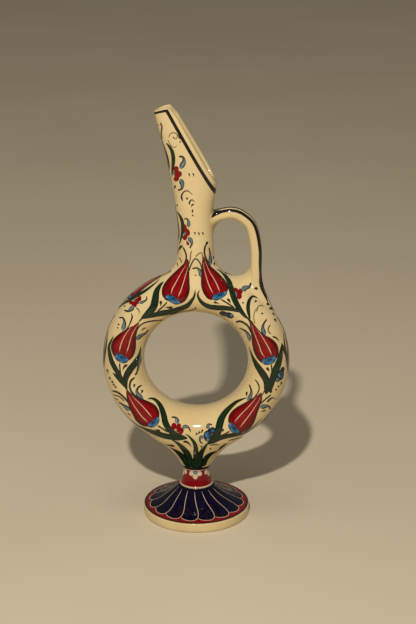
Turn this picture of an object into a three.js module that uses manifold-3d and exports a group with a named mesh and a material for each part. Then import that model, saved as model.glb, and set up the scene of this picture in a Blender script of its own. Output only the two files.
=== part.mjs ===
// Ring carafe: a hollow upright ring on a pedestal foot, with a beaked neck and a loop handle.
// Millimetres, +Z up. The origin is the centre of the foot's resting plane. The ring lies in the
// XZ plane, the handle is on the +X side and the beak pours towards -X.
// The members are thrown and pulled separately, then luted together with clay and glazed.

import * as THREE from 'three';
import { mergeVertices } from 'three/addons/utils/BufferGeometryUtils.js';
import Module from 'manifold-3d';

// Driving dimensions
const FOOT_DIAMETER = 81;
const FOOT_RIM_HEIGHT = 7.5;
const COLLAR_BASE_HEIGHT = 23.5;
const COLLAR_BASE_DIAMETER = 25.4;
const COLLAR_TOP_DIAMETER = 19.4;
const COLLAR_HEIGHT = 13;
const SADDLE_HEIGHT = 18.5;
const RING_DIAMETER = 140;
const TUBE_WIDTH = 31;
const TUBE_DEPTH = 39;
const NECK_DIAMETER = 25.8;
const NECK_LENGTH = 123.5;
const BEAK_REACH = 30;
const HANDLE_REACH = 47.6;
const HANDLE_RISE = 47;
const HANDLE_THICKNESS = 7.4;
const HANDLE_DEPTH = 11;
const WALL = 4;
const NECK_WALL = 3.2;
const SLIP_LINE = 0.3;

// Places worked out from the driving dimensions
const COLLAR_TOP = COLLAR_BASE_HEIGHT + COLLAR_HEIGHT;
const RING_RADIUS = RING_DIAMETER / 2;
const TUBE_RADIUS = TUBE_WIDTH / 2;
const RING_BOTTOM = COLLAR_TOP + SADDLE_HEIGHT;
const RING_CENTRE = RING_BOTTOM + RING_RADIUS;
const RING_TOP = RING_CENTRE + RING_RADIUS;
const BEAK_TOP = RING_TOP + NECK_LENGTH;
const NECK_RADIUS = NECK_DIAMETER / 2;

// Colours of the glaze and the painted foot
const IVORY = 0xd6bd86;
const COBALT = 0x17133f;

const wasm = await Module();
wasm.setup();

// Closed mesh to solid: only positions are kept, shared corners are welded, and the triangles that
// a pole folds flat are dropped.
function toSolid(geometry) {
  const bare = new THREE.BufferGeometry();
  bare.setAttribute('position', geometry.getAttribute('position').clone());
  bare.setIndex(geometry.getIndex().clone());
  const welded = mergeVertices(bare, 1e-3);
  const index = welded.getIndex().array;
  const triangles = [];
  for (let i = 0; i < index.length; i += 3) {
    const [a, b, c] = [index[i], index[i + 1], index[i + 2]];
    if (a !== b && b !== c && c !== a) triangles.push(a, b, c);
  }
  return new wasm.Manifold(new wasm.Mesh({
    numProp: 3,
    vertProperties: new Float32Array(welded.getAttribute('position').array),
    triVerts: new Uint32Array(triangles),
  }));
}

// Solid to a named mesh with its own material.
function toMesh(name, solid, colour) {
  const { vertProperties, triVerts } = solid.getMesh();
  const geometry = new THREE.BufferGeometry();
  geometry.setAttribute('position', new THREE.BufferAttribute(vertProperties, 3));
  geometry.setIndex(new THREE.BufferAttribute(triVerts, 1));
  geometry.computeVertexNormals();
  const material = new THREE.MeshStandardMaterial({ color: colour, roughness: 0.22, metalness: 0 });
  const mesh = new THREE.Mesh(geometry, material);
  mesh.name = name;
  return mesh;
}

// Loft through elliptical rows. A row has a centre, a unit direction across in the XZ plane, and
// the half sizes along that direction (a) and along Y (b). The ends are closed by fans.
function loft(rows, segments) {
  const positions = [];
  const triangles = [];
  for (const { centre, across, a, b } of rows) {
    for (let j = 0; j < segments; j += 1) {
      const angle = (2 * Math.PI * j) / segments;
      const point = centre.clone().addScaledVector(across, a * Math.cos(angle));
      positions.push(point.x, point.y + b * Math.sin(angle), point.z);
    }
  }
  for (let i = 0; i + 1 < rows.length; i += 1) {
    for (let j = 0; j < segments; j += 1) {
      const k = (j + 1) % segments;
      const [low, high] = [i * segments, (i + 1) * segments];
      triangles.push(low + j, low + k, high + k, low + j, high + k, high + j);
    }
  }
  const last = (rows.length - 1) * segments;
  const first = positions.length / 3;
  positions.push(...rows[0].centre.toArray(), ...rows.at(-1).centre.toArray());
  for (let j = 0; j < segments; j += 1) {
    const k = (j + 1) % segments;
    triangles.push(first, k, j, first + 1, last + j, last + k);
  }
  const geometry = new THREE.BufferGeometry();
  geometry.setAttribute('position', new THREE.Float32BufferAttribute(positions, 3));
  geometry.setIndex(triangles);
  return toSolid(geometry);
}

// Level rows for a loft, read from a smooth curve through knots of [height, front, rear, depth]:
// front and rear are where the walls cross the XZ plane, depth is the half size along Y, and
// grow widens the section on every side.
function levelRows(knots, count, grow) {
  const walls = new THREE.CatmullRomCurve3(
    knots.map(([height, front, rear]) => new THREE.Vector3(front, rear, height)), false, 'catmullrom');
  const depths = new THREE.CatmullRomCurve3(
    knots.map(([height, , , depth]) => new THREE.Vector3(depth, 0, height)), false, 'catmullrom');
  return Array.from({ length: count + 1 }, (_, i) => {
    const wall = walls.getPoint(i / count);
    const depth = depths.getPoint(i / count);
    return {
      centre: new THREE.Vector3((wall.x + wall.y) / 2, 0, wall.z),
      across: new THREE.Vector3(1, 0, 0),
      a: (wall.y - wall.x) / 2 + grow,
      b: depth.x + grow,
    };
  });
}

// Hollow ring: an elliptical tube carried round a circle in the XZ plane. grow moves its skin out.
function ringSolid(grow, around, across) {
  const tube = TUBE_RADIUS + grow;
  const torus = new THREE.TorusGeometry(RING_RADIUS - TUBE_RADIUS, tube, across, around);
  torus.scale(1, 1, (TUBE_DEPTH / 2 + grow) / tube);
  torus.rotateX(Math.PI / 2);
  torus.translate(0, 0, RING_CENTRE);
  return toSolid(torus);
}

// Neck: round at the ring, then flaring into a beak whose front wall leans out over the lip. The
// rear wall above the mouth's heel is only there to be cut away.
function neckSolid(grow, low) {
  const rise = (share) => RING_TOP + share * NECK_LENGTH;
  const r = NECK_RADIUS;
  const knots = [
    [low, -1.06 * r, 1.06 * r, 1.04 * r],
    [rise(0.08), -1.06 * r, 1.05 * r, 1.04 * r],
    [rise(0.24), -r, 0.99 * r, r],
    [rise(0.39), -1.14 * r, 1.0 * r, 0.98 * r],
    [rise(0.5), -1.29 * r, 1.14 * r, 0.95 * r],
    [rise(0.71), -0.72 * BEAK_REACH, 1.36 * r, 0.87 * r],
    [rise(0.9), -0.925 * BEAK_REACH, 1.52 * r, 0.74 * r],
    [rise(1.06), -1.08 * BEAK_REACH, 1.62 * r, 0.6 * r],
  ];
  return loft(levelRows(knots, 16, grow), 32);
}

// What is cut off the neck to open the mouth: everything above a rim line that climbs from the
// heel over the handle to the crown of the beak, rounds over it and dips to the pouring lip.
function mouthCutter() {
  const heel = new THREE.Vector2(1.12 * NECK_RADIUS, BEAK_TOP - 0.475 * NECK_LENGTH);
  const crown = new THREE.Vector2(-0.54 * BEAK_REACH, BEAK_TOP + 0.4);
  const lip = new THREE.Vector2(-BEAK_REACH, BEAK_TOP - 3);
  const beyondHeel = heel.clone().lerp(crown, -1);
  const beyondLip = lip.clone().lerp(crown, -1);
  const ease = 0.06;
  const beforeCrown = crown.clone().lerp(heel, ease);
  const afterCrown = crown.clone().lerp(lip, 3 * ease);
  const shape = new THREE.Shape();
  shape.moveTo(beyondHeel.x, beyondHeel.y);
  shape.lineTo(beyondHeel.x, BEAK_TOP + NECK_LENGTH);
  shape.lineTo(beyondLip.x, BEAK_TOP + NECK_LENGTH);
  shape.lineTo(beyondLip.x, beyondLip.y);
  shape.lineTo(afterCrown.x, afterCrown.y);
  shape.quadraticCurveTo(crown.x, crown.y, beforeCrown.x, beforeCrown.y);
  shape.closePath();
  const depth = 4 * NECK_DIAMETER;
  const cutter = new THREE.ExtrudeGeometry(shape, { depth, bevelEnabled: false, curveSegments: 6 });
  cutter.rotateX(Math.PI / 2);
  cutter.translate(0, depth / 2, 0);
  cutter.setIndex([...Array(cutter.getAttribute('position').count).keys()]);
  return toSolid(cutter);
}

// Flared clay at the neck's root: a fillet that runs out wide along the ring and close across it.
function neckFillet() {
  const r = NECK_RADIUS;
  const t = TUBE_RADIUS;
  const knots = [
    [RING_TOP - 0.75 * t, -2.45 * r, 2.3 * r, 1.44 * r],
    [RING_TOP - 0.4 * t, -2.15 * r, 1.9 * r, 1.4 * r],
    [RING_TOP, -1.5 * r, 1.3 * r, 1.3 * r],
    [RING_TOP + 0.4 * t, -1.23 * r, 1.14 * r, 1.17 * r],
    [RING_TOP + 0.75 * t, -1.1 * r, 1.08 * r, 1.08 * r],
    [RING_TOP + 1.05 * t, -1.065 * r, 1.06 * r, 1.055 * r],
  ];
  return loft(levelRows(knots, 8, 0), 32);
}

// Saddle: the flared stem on the collar that carries the ring, wide along it and close across it.
function saddleSolid() {
  const r = COLLAR_TOP_DIAMETER / 2;
  const rise = (share) => COLLAR_TOP + SLIP_LINE + share * SADDLE_HEIGHT;
  const knots = [
    [rise(0), -r, r, r],
    [rise(0.2), -1.24 * r, 1.24 * r, 1.15 * r],
    [rise(0.43), -1.5 * r, 1.5 * r, 1.3 * r],
    [rise(0.67), -1.87 * r, 1.87 * r, 1.45 * r],
    [rise(0.92), -2.32 * r, 2.32 * r, 1.6 * r],
    [rise(1.15), -2.85 * r, 2.85 * r, 1.72 * r],
    [rise(1.4), -3.5 * r, 3.5 * r, 1.8 * r],
  ];
  return loft(levelRows(knots, 10, 0), 36);
}

// Pedestal: turned in one piece, with a tapered collar, a bead at its foot, a swept skirt and a
// plain rim. It is hollow underneath and stands on a flat ring.
function pedestalSolid() {
  const rim = FOOT_DIAMETER / 2;
  const base = COLLAR_BASE_DIAMETER / 2;
  const top = COLLAR_TOP_DIAMETER / 2;
  const bead = 0.6;
  const skirt = (radius) => {
    const share = (rim - radius) / (rim - base);
    return FOOT_RIM_HEIGHT + (COLLAR_BASE_HEIGHT - bead - FOOT_RIM_HEIGHT) * share ** 1.7;
  };
  const shares = [0.14, 0.28, 0.42, 0.56, 0.7, 0.82, 0.92];
  const under = (share) => new THREE.Vector2(
    0.4 * rim + share * 0.38 * rim, skirt(0.4 * rim + share * 0.38 * rim) - 1.2 * WALL);
  const points = [
    new THREE.Vector2(0, COLLAR_TOP - 2 * WALL),
    new THREE.Vector2(0.3 * base, COLLAR_TOP - 2.4 * WALL),
    new THREE.Vector2(0.55 * base, COLLAR_BASE_HEIGHT - 0.5 * WALL),
    under(0.05),
    under(0.35),
    under(0.7),
    under(1),
    new THREE.Vector2(rim - 1.5 * WALL, 0.6),
    new THREE.Vector2(rim - 1.4 * WALL, 0),
    new THREE.Vector2(rim - 0.7, 0),
    new THREE.Vector2(rim, 0.8),
    new THREE.Vector2(rim, FOOT_RIM_HEIGHT - 1),
    new THREE.Vector2(rim - 0.4, FOOT_RIM_HEIGHT - 0.25),
    ...shares.map((share) => {
      const radius = rim - 1.2 - share * (rim - 1.2 - base);
      return new THREE.Vector2(radius, skirt(radius));
    }),
    new THREE.Vector2(base, COLLAR_BASE_HEIGHT - bead),
    new THREE.Vector2(base + bead, COLLAR_BASE_HEIGHT),
    new THREE.Vector2(base, COLLAR_BASE_HEIGHT + bead),
    new THREE.Vector2(base + 0.55 * (top - base), COLLAR_BASE_HEIGHT + 0.4 * COLLAR_HEIGHT),
    new THREE.Vector2(top, COLLAR_TOP),
    new THREE.Vector2(0, COLLAR_TOP),
  ];
  const lathe = new THREE.LatheGeometry(points, 52);
  lathe.rotateX(Math.PI / 2);
  return toSolid(lathe);
}

// Handle: its middle line leaves the neck, rises, turns over and runs down into the ring's shoulder.
function handlePath() {
  const reach = HANDLE_REACH - HANDLE_THICKNESS / 2;
  const rise = HANDLE_RISE - HANDLE_THICKNESS / 2;
  const beside = (x, z) => new THREE.Vector3(x * reach, 0, RING_TOP + z * rise);
  const onRing = (outside, degrees) => {
    const angle = THREE.MathUtils.degToRad(degrees);
    const radius = RING_RADIUS + outside;
    return new THREE.Vector3(radius * Math.cos(angle), 0, RING_CENTRE + radius * Math.sin(angle));
  };
  return new THREE.CatmullRomCurve3([
    beside(0.16, 0.76),
    beside(0.3, 0.835),
    beside(0.45, 0.945),
    beside(0.61, 1),
    beside(0.765, 0.955),
    beside(0.915, 0.78),
    beside(1, 0.4),
    beside(1.01, 0.05),
    onRing(4.2, 53),
    onRing(-1.6, 42.5),
    onRing(-5.7, 30.4),
  ]);
}

// A stretch of the handle's line with an oval section. growth gives, for a share of the stretch and
// the height there, what is added on the loop's side, on the outer side and in depth.
function handleStretch(path, from, to, count, segments, growth) {
  const rows = Array.from({ length: count + 1 }, (_, i) => {
    const place = from + ((to - from) * i) / count;
    const middle = path.getPointAt(place);
    const along = path.getTangentAt(place);
    const across = new THREE.Vector3(along.z, 0, -along.x);
    const [inner, outer, deep] = growth(i / count, middle.z);
    return {
      centre: middle.addScaledVector(across, (inner - outer) / 2),
      across,
      a: (HANDLE_THICKNESS + inner + outer) / 2,
      b: HANDLE_DEPTH / 2 + deep,
    };
  });
  return loft(rows, segments);
}

const ring = ringSolid(0, 60, 24);
const ringHollow = ringSolid(-WALL, 40, 14);
const ringSeat = ringSolid(SLIP_LINE, 60, 24);
const tubeMiddle = RING_TOP - TUBE_RADIUS;
const neck = neckSolid(0, tubeMiddle);
const neckSeat = neckSolid(SLIP_LINE, tubeMiddle);
const neckBore = neckSolid(-NECK_WALL, tubeMiddle);
const mouth = mouthCutter();
const path = handlePath();
const handleBar = handleStretch(path, 0, 1, 44, 16, () => [0, 0, 0]);
const handleSeat = handleStretch(path, 0, 1, 44, 16, () => [2 * SLIP_LINE, 2 * SLIP_LINE, SLIP_LINE]);

// The clay worked into the handle's two ends thins out along the handle. At the root it spreads as a
// web over the ring's shoulder towards the neck, and leaves the outer part of the handle's flanks bare.
const fade = (share) => 0.5 + 0.5 * Math.cos(Math.PI * share);
const WEB_HEIGHT = 3;
const WEB_SPREAD = 9;
const BARE_FLANK = 0.25 * HANDLE_THICKNESS;
const topClay = handleStretch(path, 0.02, 0.17, 8, 24, (share) => {
  const swell = 1 + 2.6 * fade(share);
  return [swell, 0.5 * swell + 0.3, 0.6 * swell + 0.2];
});
const rootClay = handleStretch(path, 0.6, 0.93, 14, 20, (share, height) => {
  const spread = WEB_SPREAD * Math.exp((RING_TOP - WEB_HEIGHT - height) / WEB_HEIGHT);
  const swell = 1 + Math.min(spread, 2.4 * WEB_SPREAD);
  return [swell, -BARE_FLANK, 0.12 * swell + 0.6];
});

const carafe = new THREE.Group();
carafe.add(
  toMesh('pedestal_foot', pedestalSolid(), COBALT),
  toMesh('stem_saddle', saddleSolid().subtract(ringSeat), IVORY),
  toMesh('ring_body', ring.subtract(ringHollow).subtract(neckBore), IVORY),
  toMesh('neck_beak', neck.subtract(neckBore).subtract(ringSeat).subtract(mouth), IVORY),
  toMesh('neck_fillet', neckFillet().subtract(neckSeat).subtract(ringSeat), IVORY),
  toMesh('handle', handleBar.subtract(neckSeat).subtract(ringSeat), IVORY),
  toMesh('handle_top_fillet', topClay.subtract(handleSeat).subtract(neckSeat), IVORY),
  toMesh('handle_root_fillet', rootClay.subtract(handleSeat).subtract(ringSeat), IVORY),
);

export default carafe;
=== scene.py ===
import bpy
import numpy as np
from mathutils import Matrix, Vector


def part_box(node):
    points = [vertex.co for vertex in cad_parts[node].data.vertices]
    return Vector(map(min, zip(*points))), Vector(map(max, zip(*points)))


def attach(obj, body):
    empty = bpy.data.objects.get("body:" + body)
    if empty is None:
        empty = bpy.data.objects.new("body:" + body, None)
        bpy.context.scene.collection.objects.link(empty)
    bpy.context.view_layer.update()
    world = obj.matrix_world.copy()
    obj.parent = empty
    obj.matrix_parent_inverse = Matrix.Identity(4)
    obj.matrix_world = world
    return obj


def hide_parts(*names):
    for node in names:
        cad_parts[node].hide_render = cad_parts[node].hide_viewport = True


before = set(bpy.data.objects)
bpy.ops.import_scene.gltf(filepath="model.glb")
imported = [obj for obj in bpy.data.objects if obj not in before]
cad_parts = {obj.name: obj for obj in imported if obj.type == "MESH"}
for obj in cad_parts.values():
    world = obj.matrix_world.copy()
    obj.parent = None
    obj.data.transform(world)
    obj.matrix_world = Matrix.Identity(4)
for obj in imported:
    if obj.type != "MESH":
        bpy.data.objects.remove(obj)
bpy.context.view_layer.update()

MM = 0.001


def size_of(node):
    """Lowest and highest corner of a solid, in millimetres."""
    low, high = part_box(node)
    return np.array(low) / MM, np.array(high) / MM


# Sizes in millimetres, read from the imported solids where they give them
_, FOOT_HIGH = size_of("pedestal_foot")
RING_LOW, RING_HIGH = size_of("ring_body")
FOOT_RADIUS = FOOT_HIGH[0]
COLLAR_TOP = FOOT_HIGH[2]
RING_RADIUS = RING_HIGH[0]
RING_MID = RING_LOW[2] + RING_RADIUS
RING_TOP = RING_MID + RING_RADIUS
TUBE_DEPTH = RING_HIGH[1]
TUBE_WIDTH = 15.5
TUBE_RADIUS = RING_RADIUS - TUBE_WIDTH
NECK_RADIUS = 12.9
NECK_LENGTH = 123.5
NECK_WALL = 3.2
MOUTH_WALL = 4.6
MOUTH_BULGE = 0.33 * MOUTH_WALL
BEAK_TOP = RING_TOP + NECK_LENGTH
BEAK_REACH = 30.0
STEM_RADIUS = 9.7
STEM_HEIGHT = 18.5
STEM_INTO_RING = 9.0
SLIP_LINE = 0.3
COLLAR_SEAT = 0.05
HANDLE_HALF = 4.1
HANDLE_DEPTH = 4.6
HANDLE_SQUARE = 2.6
HANDLE_REACH = 43.9
HANDLE_RISE = 43.3

# Heights on the neck: its end inside the ring, its lowest row, the top of its fillet and the bore's floor
NECK_FLOOR = RING_TOP - 8.0
NECK_HEM = RING_TOP - 17.0
NECK_FILLET_TOP = RING_TOP + 22.0
BORE_FLOOR = RING_TOP - 6.0

# Reach of the fillets: of the neck across the ring, what it gains along the ring, and of the stem;
# the soft reach of the stem is for the way it shades
NECK_FILLET = 9.0
NECK_FILLET_ALONG = 7.0
STEM_FILLET = 6.0
STEM_FILLET_SOFT = 11.0

# Farthest that a ray goes out from the axis to the clay, and how near to the clay counts as on it
NECK_CAST = 42.0
STEM_CAST = 46.0
ON_CLAY = 0.02
UPRIGHT = np.array([0.0, 0.0, 1.0])

# The photograph's view: eye and aim in millimetres, focal length and middle in photo pixels
EYE = np.array([63.0, -1304.3, 629.9])
AIM = np.array([8.97, 0.0, 162.53])
FOCAL = 1863.1
PHOTO_MID = np.array([208.0, 312.0])
PHOTO_HEIGHT = 624.0
SENSOR = 36.0


def unit(vectors):
    """Vectors divided by their own lengths."""
    return vectors / np.maximum(np.linalg.norm(vectors, axis=-1, keepdims=True), 1e-12)


FORWARD = unit(AIM - EYE)
RIGHT = unit(np.cross(FORWARD, UPRIGHT))
UP = np.cross(RIGHT, FORWARD)


def curve(points, steps=16):
    """Smooth curve through points: each span is the cubic whose end slopes are half the chord of the
    neighbours."""
    p = np.asarray(points, float)
    p = np.vstack([2 * p[0] - p[1], p, 2 * p[-1] - p[-2]])
    t = (np.arange(steps) / steps)[None, :, None]
    a, b, c, d = (p[i:len(p) - 3 + i, None, :] for i in range(4))
    bend = 2 * b + (c - a) * t + (2 * a - 5 * b + 4 * c - d) * t ** 2
    bend = bend + (3 * b - a - 3 * c + d) * t ** 3
    return np.vstack([(0.5 * bend).reshape(-1, p.shape[1]), p[-2]])


def spaced(points, count):
    """The smooth curve through points, at equal steps of its own length."""
    fine = curve(points)
    run = np.concatenate([[0.0], np.cumsum(np.linalg.norm(np.diff(fine, axis=0), axis=1))])
    want = np.linspace(0.0, run[-1], count)
    return np.stack([np.interp(want, run, fine[:, i]) for i in range(fine.shape[1])], -1)


# Sections by height: each row is height, front edge, rear edge and half depth
def neck_row(share, front, rear, depth):
    """A neck section at a share of the neck's length, in neck radii; the front in millimetres."""
    return [RING_TOP + share * NECK_LENGTH, front, rear * NECK_RADIUS, depth * NECK_RADIUS]


NECK_TABLE = curve([
    neck_row(-0.1255, -1.06 * NECK_RADIUS, 1.06, 1.04),
    neck_row(0.08, -1.06 * NECK_RADIUS, 1.05, 1.04),
    neck_row(0.24, -NECK_RADIUS, 0.99, 1.0),
    neck_row(0.39, -1.14 * NECK_RADIUS, 1.0, 0.98),
    neck_row(0.5, -1.29 * NECK_RADIUS, 1.14, 0.95),
    neck_row(0.71, -0.72 * BEAK_REACH, 1.36, 0.87),
    neck_row(0.9, -0.925 * BEAK_REACH, 1.52, 0.74),
    neck_row(1.06, -1.08 * BEAK_REACH, 1.62, 0.6),
], 40)


def stem_row(share, half, depth):
    """A stem section at a share of the stem's height, in stem radii."""
    reach = half * STEM_RADIUS
    return [COLLAR_TOP + SLIP_LINE + share * STEM_HEIGHT, -reach, reach, depth * STEM_RADIUS]


STEM_TABLE = curve([
    stem_row(0.0, 1.0, 1.0),
    stem_row(0.2, 1.24, 1.15),
    stem_row(0.43, 1.5, 1.3),
    stem_row(0.67, 1.87, 1.45),
    stem_row(0.92, 2.32, 1.55),
    stem_row(1.15, 2.85, 1.57),
    stem_row(1.4, 3.5, 1.5),
], 30)
STEM_END = STEM_TABLE[-1, 0]


def section(table, z):
    """Middle, half width and half depth of a member at height z."""
    front, rear, depth = (np.interp(z, table[:, 0], table[:, i]) for i in (1, 2, 3))
    return (front + rear) / 2, (rear - front) / 2, depth


# The handle's path beside the ring, then round the ring's shoulder
def on_ring(offset, degrees):
    """A point beside the ring's outer line, at an angle above level."""
    turn = np.radians(degrees)
    return [(RING_RADIUS + offset) * np.cos(turn), RING_MID + (RING_RADIUS + offset) * np.sin(turn)]


HANDLE_PICKS = [[x * HANDLE_REACH, RING_TOP + z * HANDLE_RISE] for x, z in (
    (0.16, 0.912), (0.3, 0.96), (0.45, 1.012), (0.61, 1.032), (0.765, 0.975), (0.925, 0.802),
    (1.005, 0.42), (1.01, 0.05))]
HANDLE_PICKS += [on_ring(4.2, 53.0), on_ring(-1.6, 42.5), on_ring(-5.7, 30.4)]
HANDLE_PATH = spaced(HANDLE_PICKS, 260)
HANDLE_ALONG = unit(np.gradient(HANDLE_PATH, axis=0))
HANDLE_ACROSS = np.stack([HANDLE_ALONG[:, 1], -HANDLE_ALONG[:, 0]], -1)


# How far a point is from each member's surface, negative inside
def ellipse_gap(u, v, a, b):
    """Distance from an ellipse to first order: k0 (k0 - 1) / k1 with the scaled lengths k0 and k1."""
    k0 = np.hypot(u / a, v / b)
    k1 = np.hypot(u / a ** 2, v / b ** 2)
    return k0 * (k0 - 1.0) / np.maximum(k1, 1e-9)


def melt(one, two, reach):
    """The nearer of two surfaces, rounded into a fillet where both are within reach."""
    near = np.maximum(reach - np.abs(one - two), 0.0) / reach
    return np.minimum(one, two) - near ** 2 * reach / 4


def ring_gap(p):
    """Distance from the ring: an upright oval section carried round a circle."""
    out = np.hypot(p[..., 0], p[..., 2] - RING_MID) - TUBE_RADIUS
    return ellipse_gap(out, p[..., 1], TUBE_WIDTH, TUBE_DEPTH)


def member_gap(table, p, z, past):
    """Distance from a member's oval at height z, rounded off past the member's end."""
    mid, half, depth = section(table, z)
    wall = ellipse_gap(p[..., 0] - mid, p[..., 1], half, depth)
    return np.where(past > 0, np.hypot(np.maximum(wall, 0), np.maximum(past, 0)), wall)


def neck_gap(p):
    """Distance from the neck, which ends a little inside the ring."""
    return member_gap(NECK_TABLE, p, np.maximum(p[..., 2], NECK_FLOOR), NECK_FLOOR - p[..., 2])


def stem_gap(p):
    """Distance from the stem, which ends inside the ring."""
    return member_gap(STEM_TABLE, p, np.minimum(p[..., 2], STEM_END), p[..., 2] - STEM_END)


def body_gap(p, stem_reach=STEM_FILLET):
    """Ring, neck and stem as one clay: the neck's fillet is longest along the ring."""
    x, y = p[..., 0], p[..., 1]
    fore = x / np.maximum(np.hypot(x, y), 1e-6)
    reach = NECK_FILLET + NECK_FILLET_ALONG * fore ** 2
    trunk = melt(ring_gap(p), neck_gap(p), reach)
    return melt(trunk, stem_gap(p), stem_reach)


def body_soft(p):
    """The same clay with a wider blend at the stem, for the way it shades."""
    return body_gap(p, STEM_FILLET_SOFT)


def clay_normal(gap, p, step=0.03):
    """Outward direction and steepness of a distance field, from differences along the axes."""
    rise = np.stack([gap(p + d) - gap(p - d) for d in np.eye(3) * step], -1) / (2 * step)
    steep = np.linalg.norm(rise, axis=-1, keepdims=True)
    return rise / np.maximum(steep, 1e-9), np.maximum(steep[..., 0], 0.3)


def cast(gap, start, aim, limit, turns=36):
    """Where rays from inside reach the surface: each step goes on by most of the distance left."""
    far = np.ones(start.shape[:-1])
    for _ in range(turns):
        far = np.clip(far - 0.75 * gap(start + aim * far[..., None]), 0.0, limit)
    return start + aim * far[..., None]


def settle(gap, p, turns=4, limit=4.0):
    """Points moved onto a surface by repeated steps of distance over steepness."""
    for _ in range(turns):
        normal, steep = clay_normal(gap, p)
        p = p - normal * np.clip(gap(p) / steep, -limit, limit)[..., None]
    return p


# Meshes
def grid_faces(rows, cols, close_rows=False):
    """Four-cornered faces of a grid of points, closed round its columns, and round its rows on request."""
    r = np.arange(rows if close_rows else rows - 1)[:, None]
    c = np.arange(cols)[None, :]
    r2 = (r + 1) % rows
    c2 = (c + 1) % cols
    return np.stack([r * cols + c, r * cols + c2, r2 * cols + c2, r2 * cols + c], -1).reshape(-1, 4)


def fan_faces(first, count, tip):
    """Three-cornered faces from a closed row of points to one tip."""
    k = np.arange(count)
    return np.stack([first + k, first + (k + 1) % count, np.full(count, tip)], -1)


def signed_volume(points, quads, tris):
    """Six times the volume inside the faces, negative when they point inwards."""
    faces = np.vstack([quads[:, [0, 1, 2]], quads[:, [0, 2, 3]], tris])
    a, b, c = (points[faces[:, i]] for i in range(3))
    return (a * np.cross(b, c)).sum()


def put_piece(name, points, quads, tris, finish, nodes=(), normals=None, uv=None):
    """Puts points in millimetres and faces into a smooth mesh that rides on the carafe."""
    tris = np.zeros((0, 3), int) if tris is None else tris
    if signed_volume(points, quads, tris) < 0:
        quads = quads[:, ::-1]
        tris = tris[:, ::-1]
    mesh = bpy.data.meshes.new(name)
    mesh.vertices.add(len(points))
    mesh.vertices.foreach_set("co", (points * MM).astype(np.float32).ravel())
    corners = np.concatenate([quads.ravel(), tris.ravel()]).astype(np.int32)
    sizes = np.concatenate([np.full(len(quads), 4), np.full(len(tris), 3)])
    mesh.loops.add(len(corners))
    mesh.loops.foreach_set("vertex_index", corners)
    mesh.polygons.add(len(sizes))
    mesh.polygons.foreach_set("loop_start", (np.cumsum(sizes) - sizes).astype(np.int32))
    mesh.update(calc_edges=True)
    mesh.validate()
    mesh.shade_smooth()
    if uv is not None:
        layer = mesh.uv_layers.new(name="brush")
        layer.data.foreach_set("uv", uv[corners].astype(np.float32).ravel())
    mesh.materials.append(finish)
    if normals is not None:
        mesh.normals_split_custom_set_from_vertices(normals.astype(np.float32))
    piece = bpy.data.objects.new(name, mesh)
    bpy.context.scene.collection.objects.link(piece)
    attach(piece, "root")
    if nodes:
        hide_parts(*nodes)


def put_tube(name, p, ends, finish, nodes, normal=None):
    """Puts a tube of points, closed by a fan of faces at each end; returns its points and normals."""
    rows, cols = p.shape[:2]
    flat = np.vstack([p.reshape(-1, 3), ends])
    if normal is not None:
        normal = np.vstack([normal.reshape(-1, 3), np.zeros((2, 3))])
    low = fan_faces(0, cols, len(flat) - 2)[:, ::-1]
    high = fan_faces((rows - 1) * cols, cols, len(flat) - 1)
    put_piece(name, flat, grid_faces(rows, cols), np.vstack([low, high]), finish, nodes, normal)
    return flat, normal


# Materials: gloss and sheen of the glaze, its ripple, and plain shares for masks
GLOSS = 0.12
GLOSS_RANGE = (0.05, 0.14)
GLOSS_SCALE = 140.0
SHEEN = 0.4
RIPPLE_SCALE = 55.0
RIPPLE_STRENGTH = 0.12
RIPPLE_HEIGHT = 0.002
NONE = (0.0, 0.0, 0.0, 1.0)
HALF = (0.5, 0.5, 0.5, 1.0)
FULL = (1.0, 1.0, 1.0, 1.0)


def srgb(red, green, blue):
    """A colour written as in the photograph, turned into linear light."""
    c = np.array([red, green, blue]) / 255.0
    c = np.where(c <= 0.04045, c / 12.92, ((c + 0.055) / 1.055) ** 2.4)
    return (float(c[0]), float(c[1]), float(c[2]), 1.0)


def new_finish(name, roughness, specular):
    """A gloss finish: one shader, with its even values on its own sockets."""
    finish = bpy.data.materials.new(name)
    finish.use_nodes = True
    nodes = finish.node_tree.nodes
    links = finish.node_tree.links
    shader = nodes["Principled BSDF"]
    shader.inputs["Roughness"].default_value = roughness
    shader.inputs["Specular IOR Level"].default_value = specular
    return finish, nodes, links, shader


def noise(nodes, links, vector, scale, detail, rough=0.55):
    """A noise pattern on the given coordinates."""
    node = nodes.new("ShaderNodeTexNoise")
    node.inputs["Scale"].default_value = scale
    node.inputs["Detail"].default_value = detail
    node.inputs["Roughness"].default_value = rough
    links.new(vector, node.inputs["Vector"])
    return node.outputs["Fac"]


def ramp(nodes, links, value, stops):
    """Colours along a value, from a list of place and colour."""
    node = nodes.new("ShaderNodeValToRGB")
    band = node.color_ramp
    while len(band.elements) < len(stops):
        band.elements.new(0.5)
    for element, (place, colour) in zip(band.elements, stops):
        element.position = place
        element.color = colour
    links.new(value, node.inputs["Fac"])
    return node.outputs["Color"]


def mixed(nodes, links, share, first, second):
    """Two colours mixed by a share."""
    node = nodes.new("ShaderNodeMix")
    node.data_type = "RGBA"
    for socket, value in zip((node.inputs[0], node.inputs[6], node.inputs[7]), (share, first, second)):
        if hasattr(value, "is_linked"):
            links.new(value, socket)
        else:
            socket.default_value = value
    return node.outputs[2]


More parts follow.
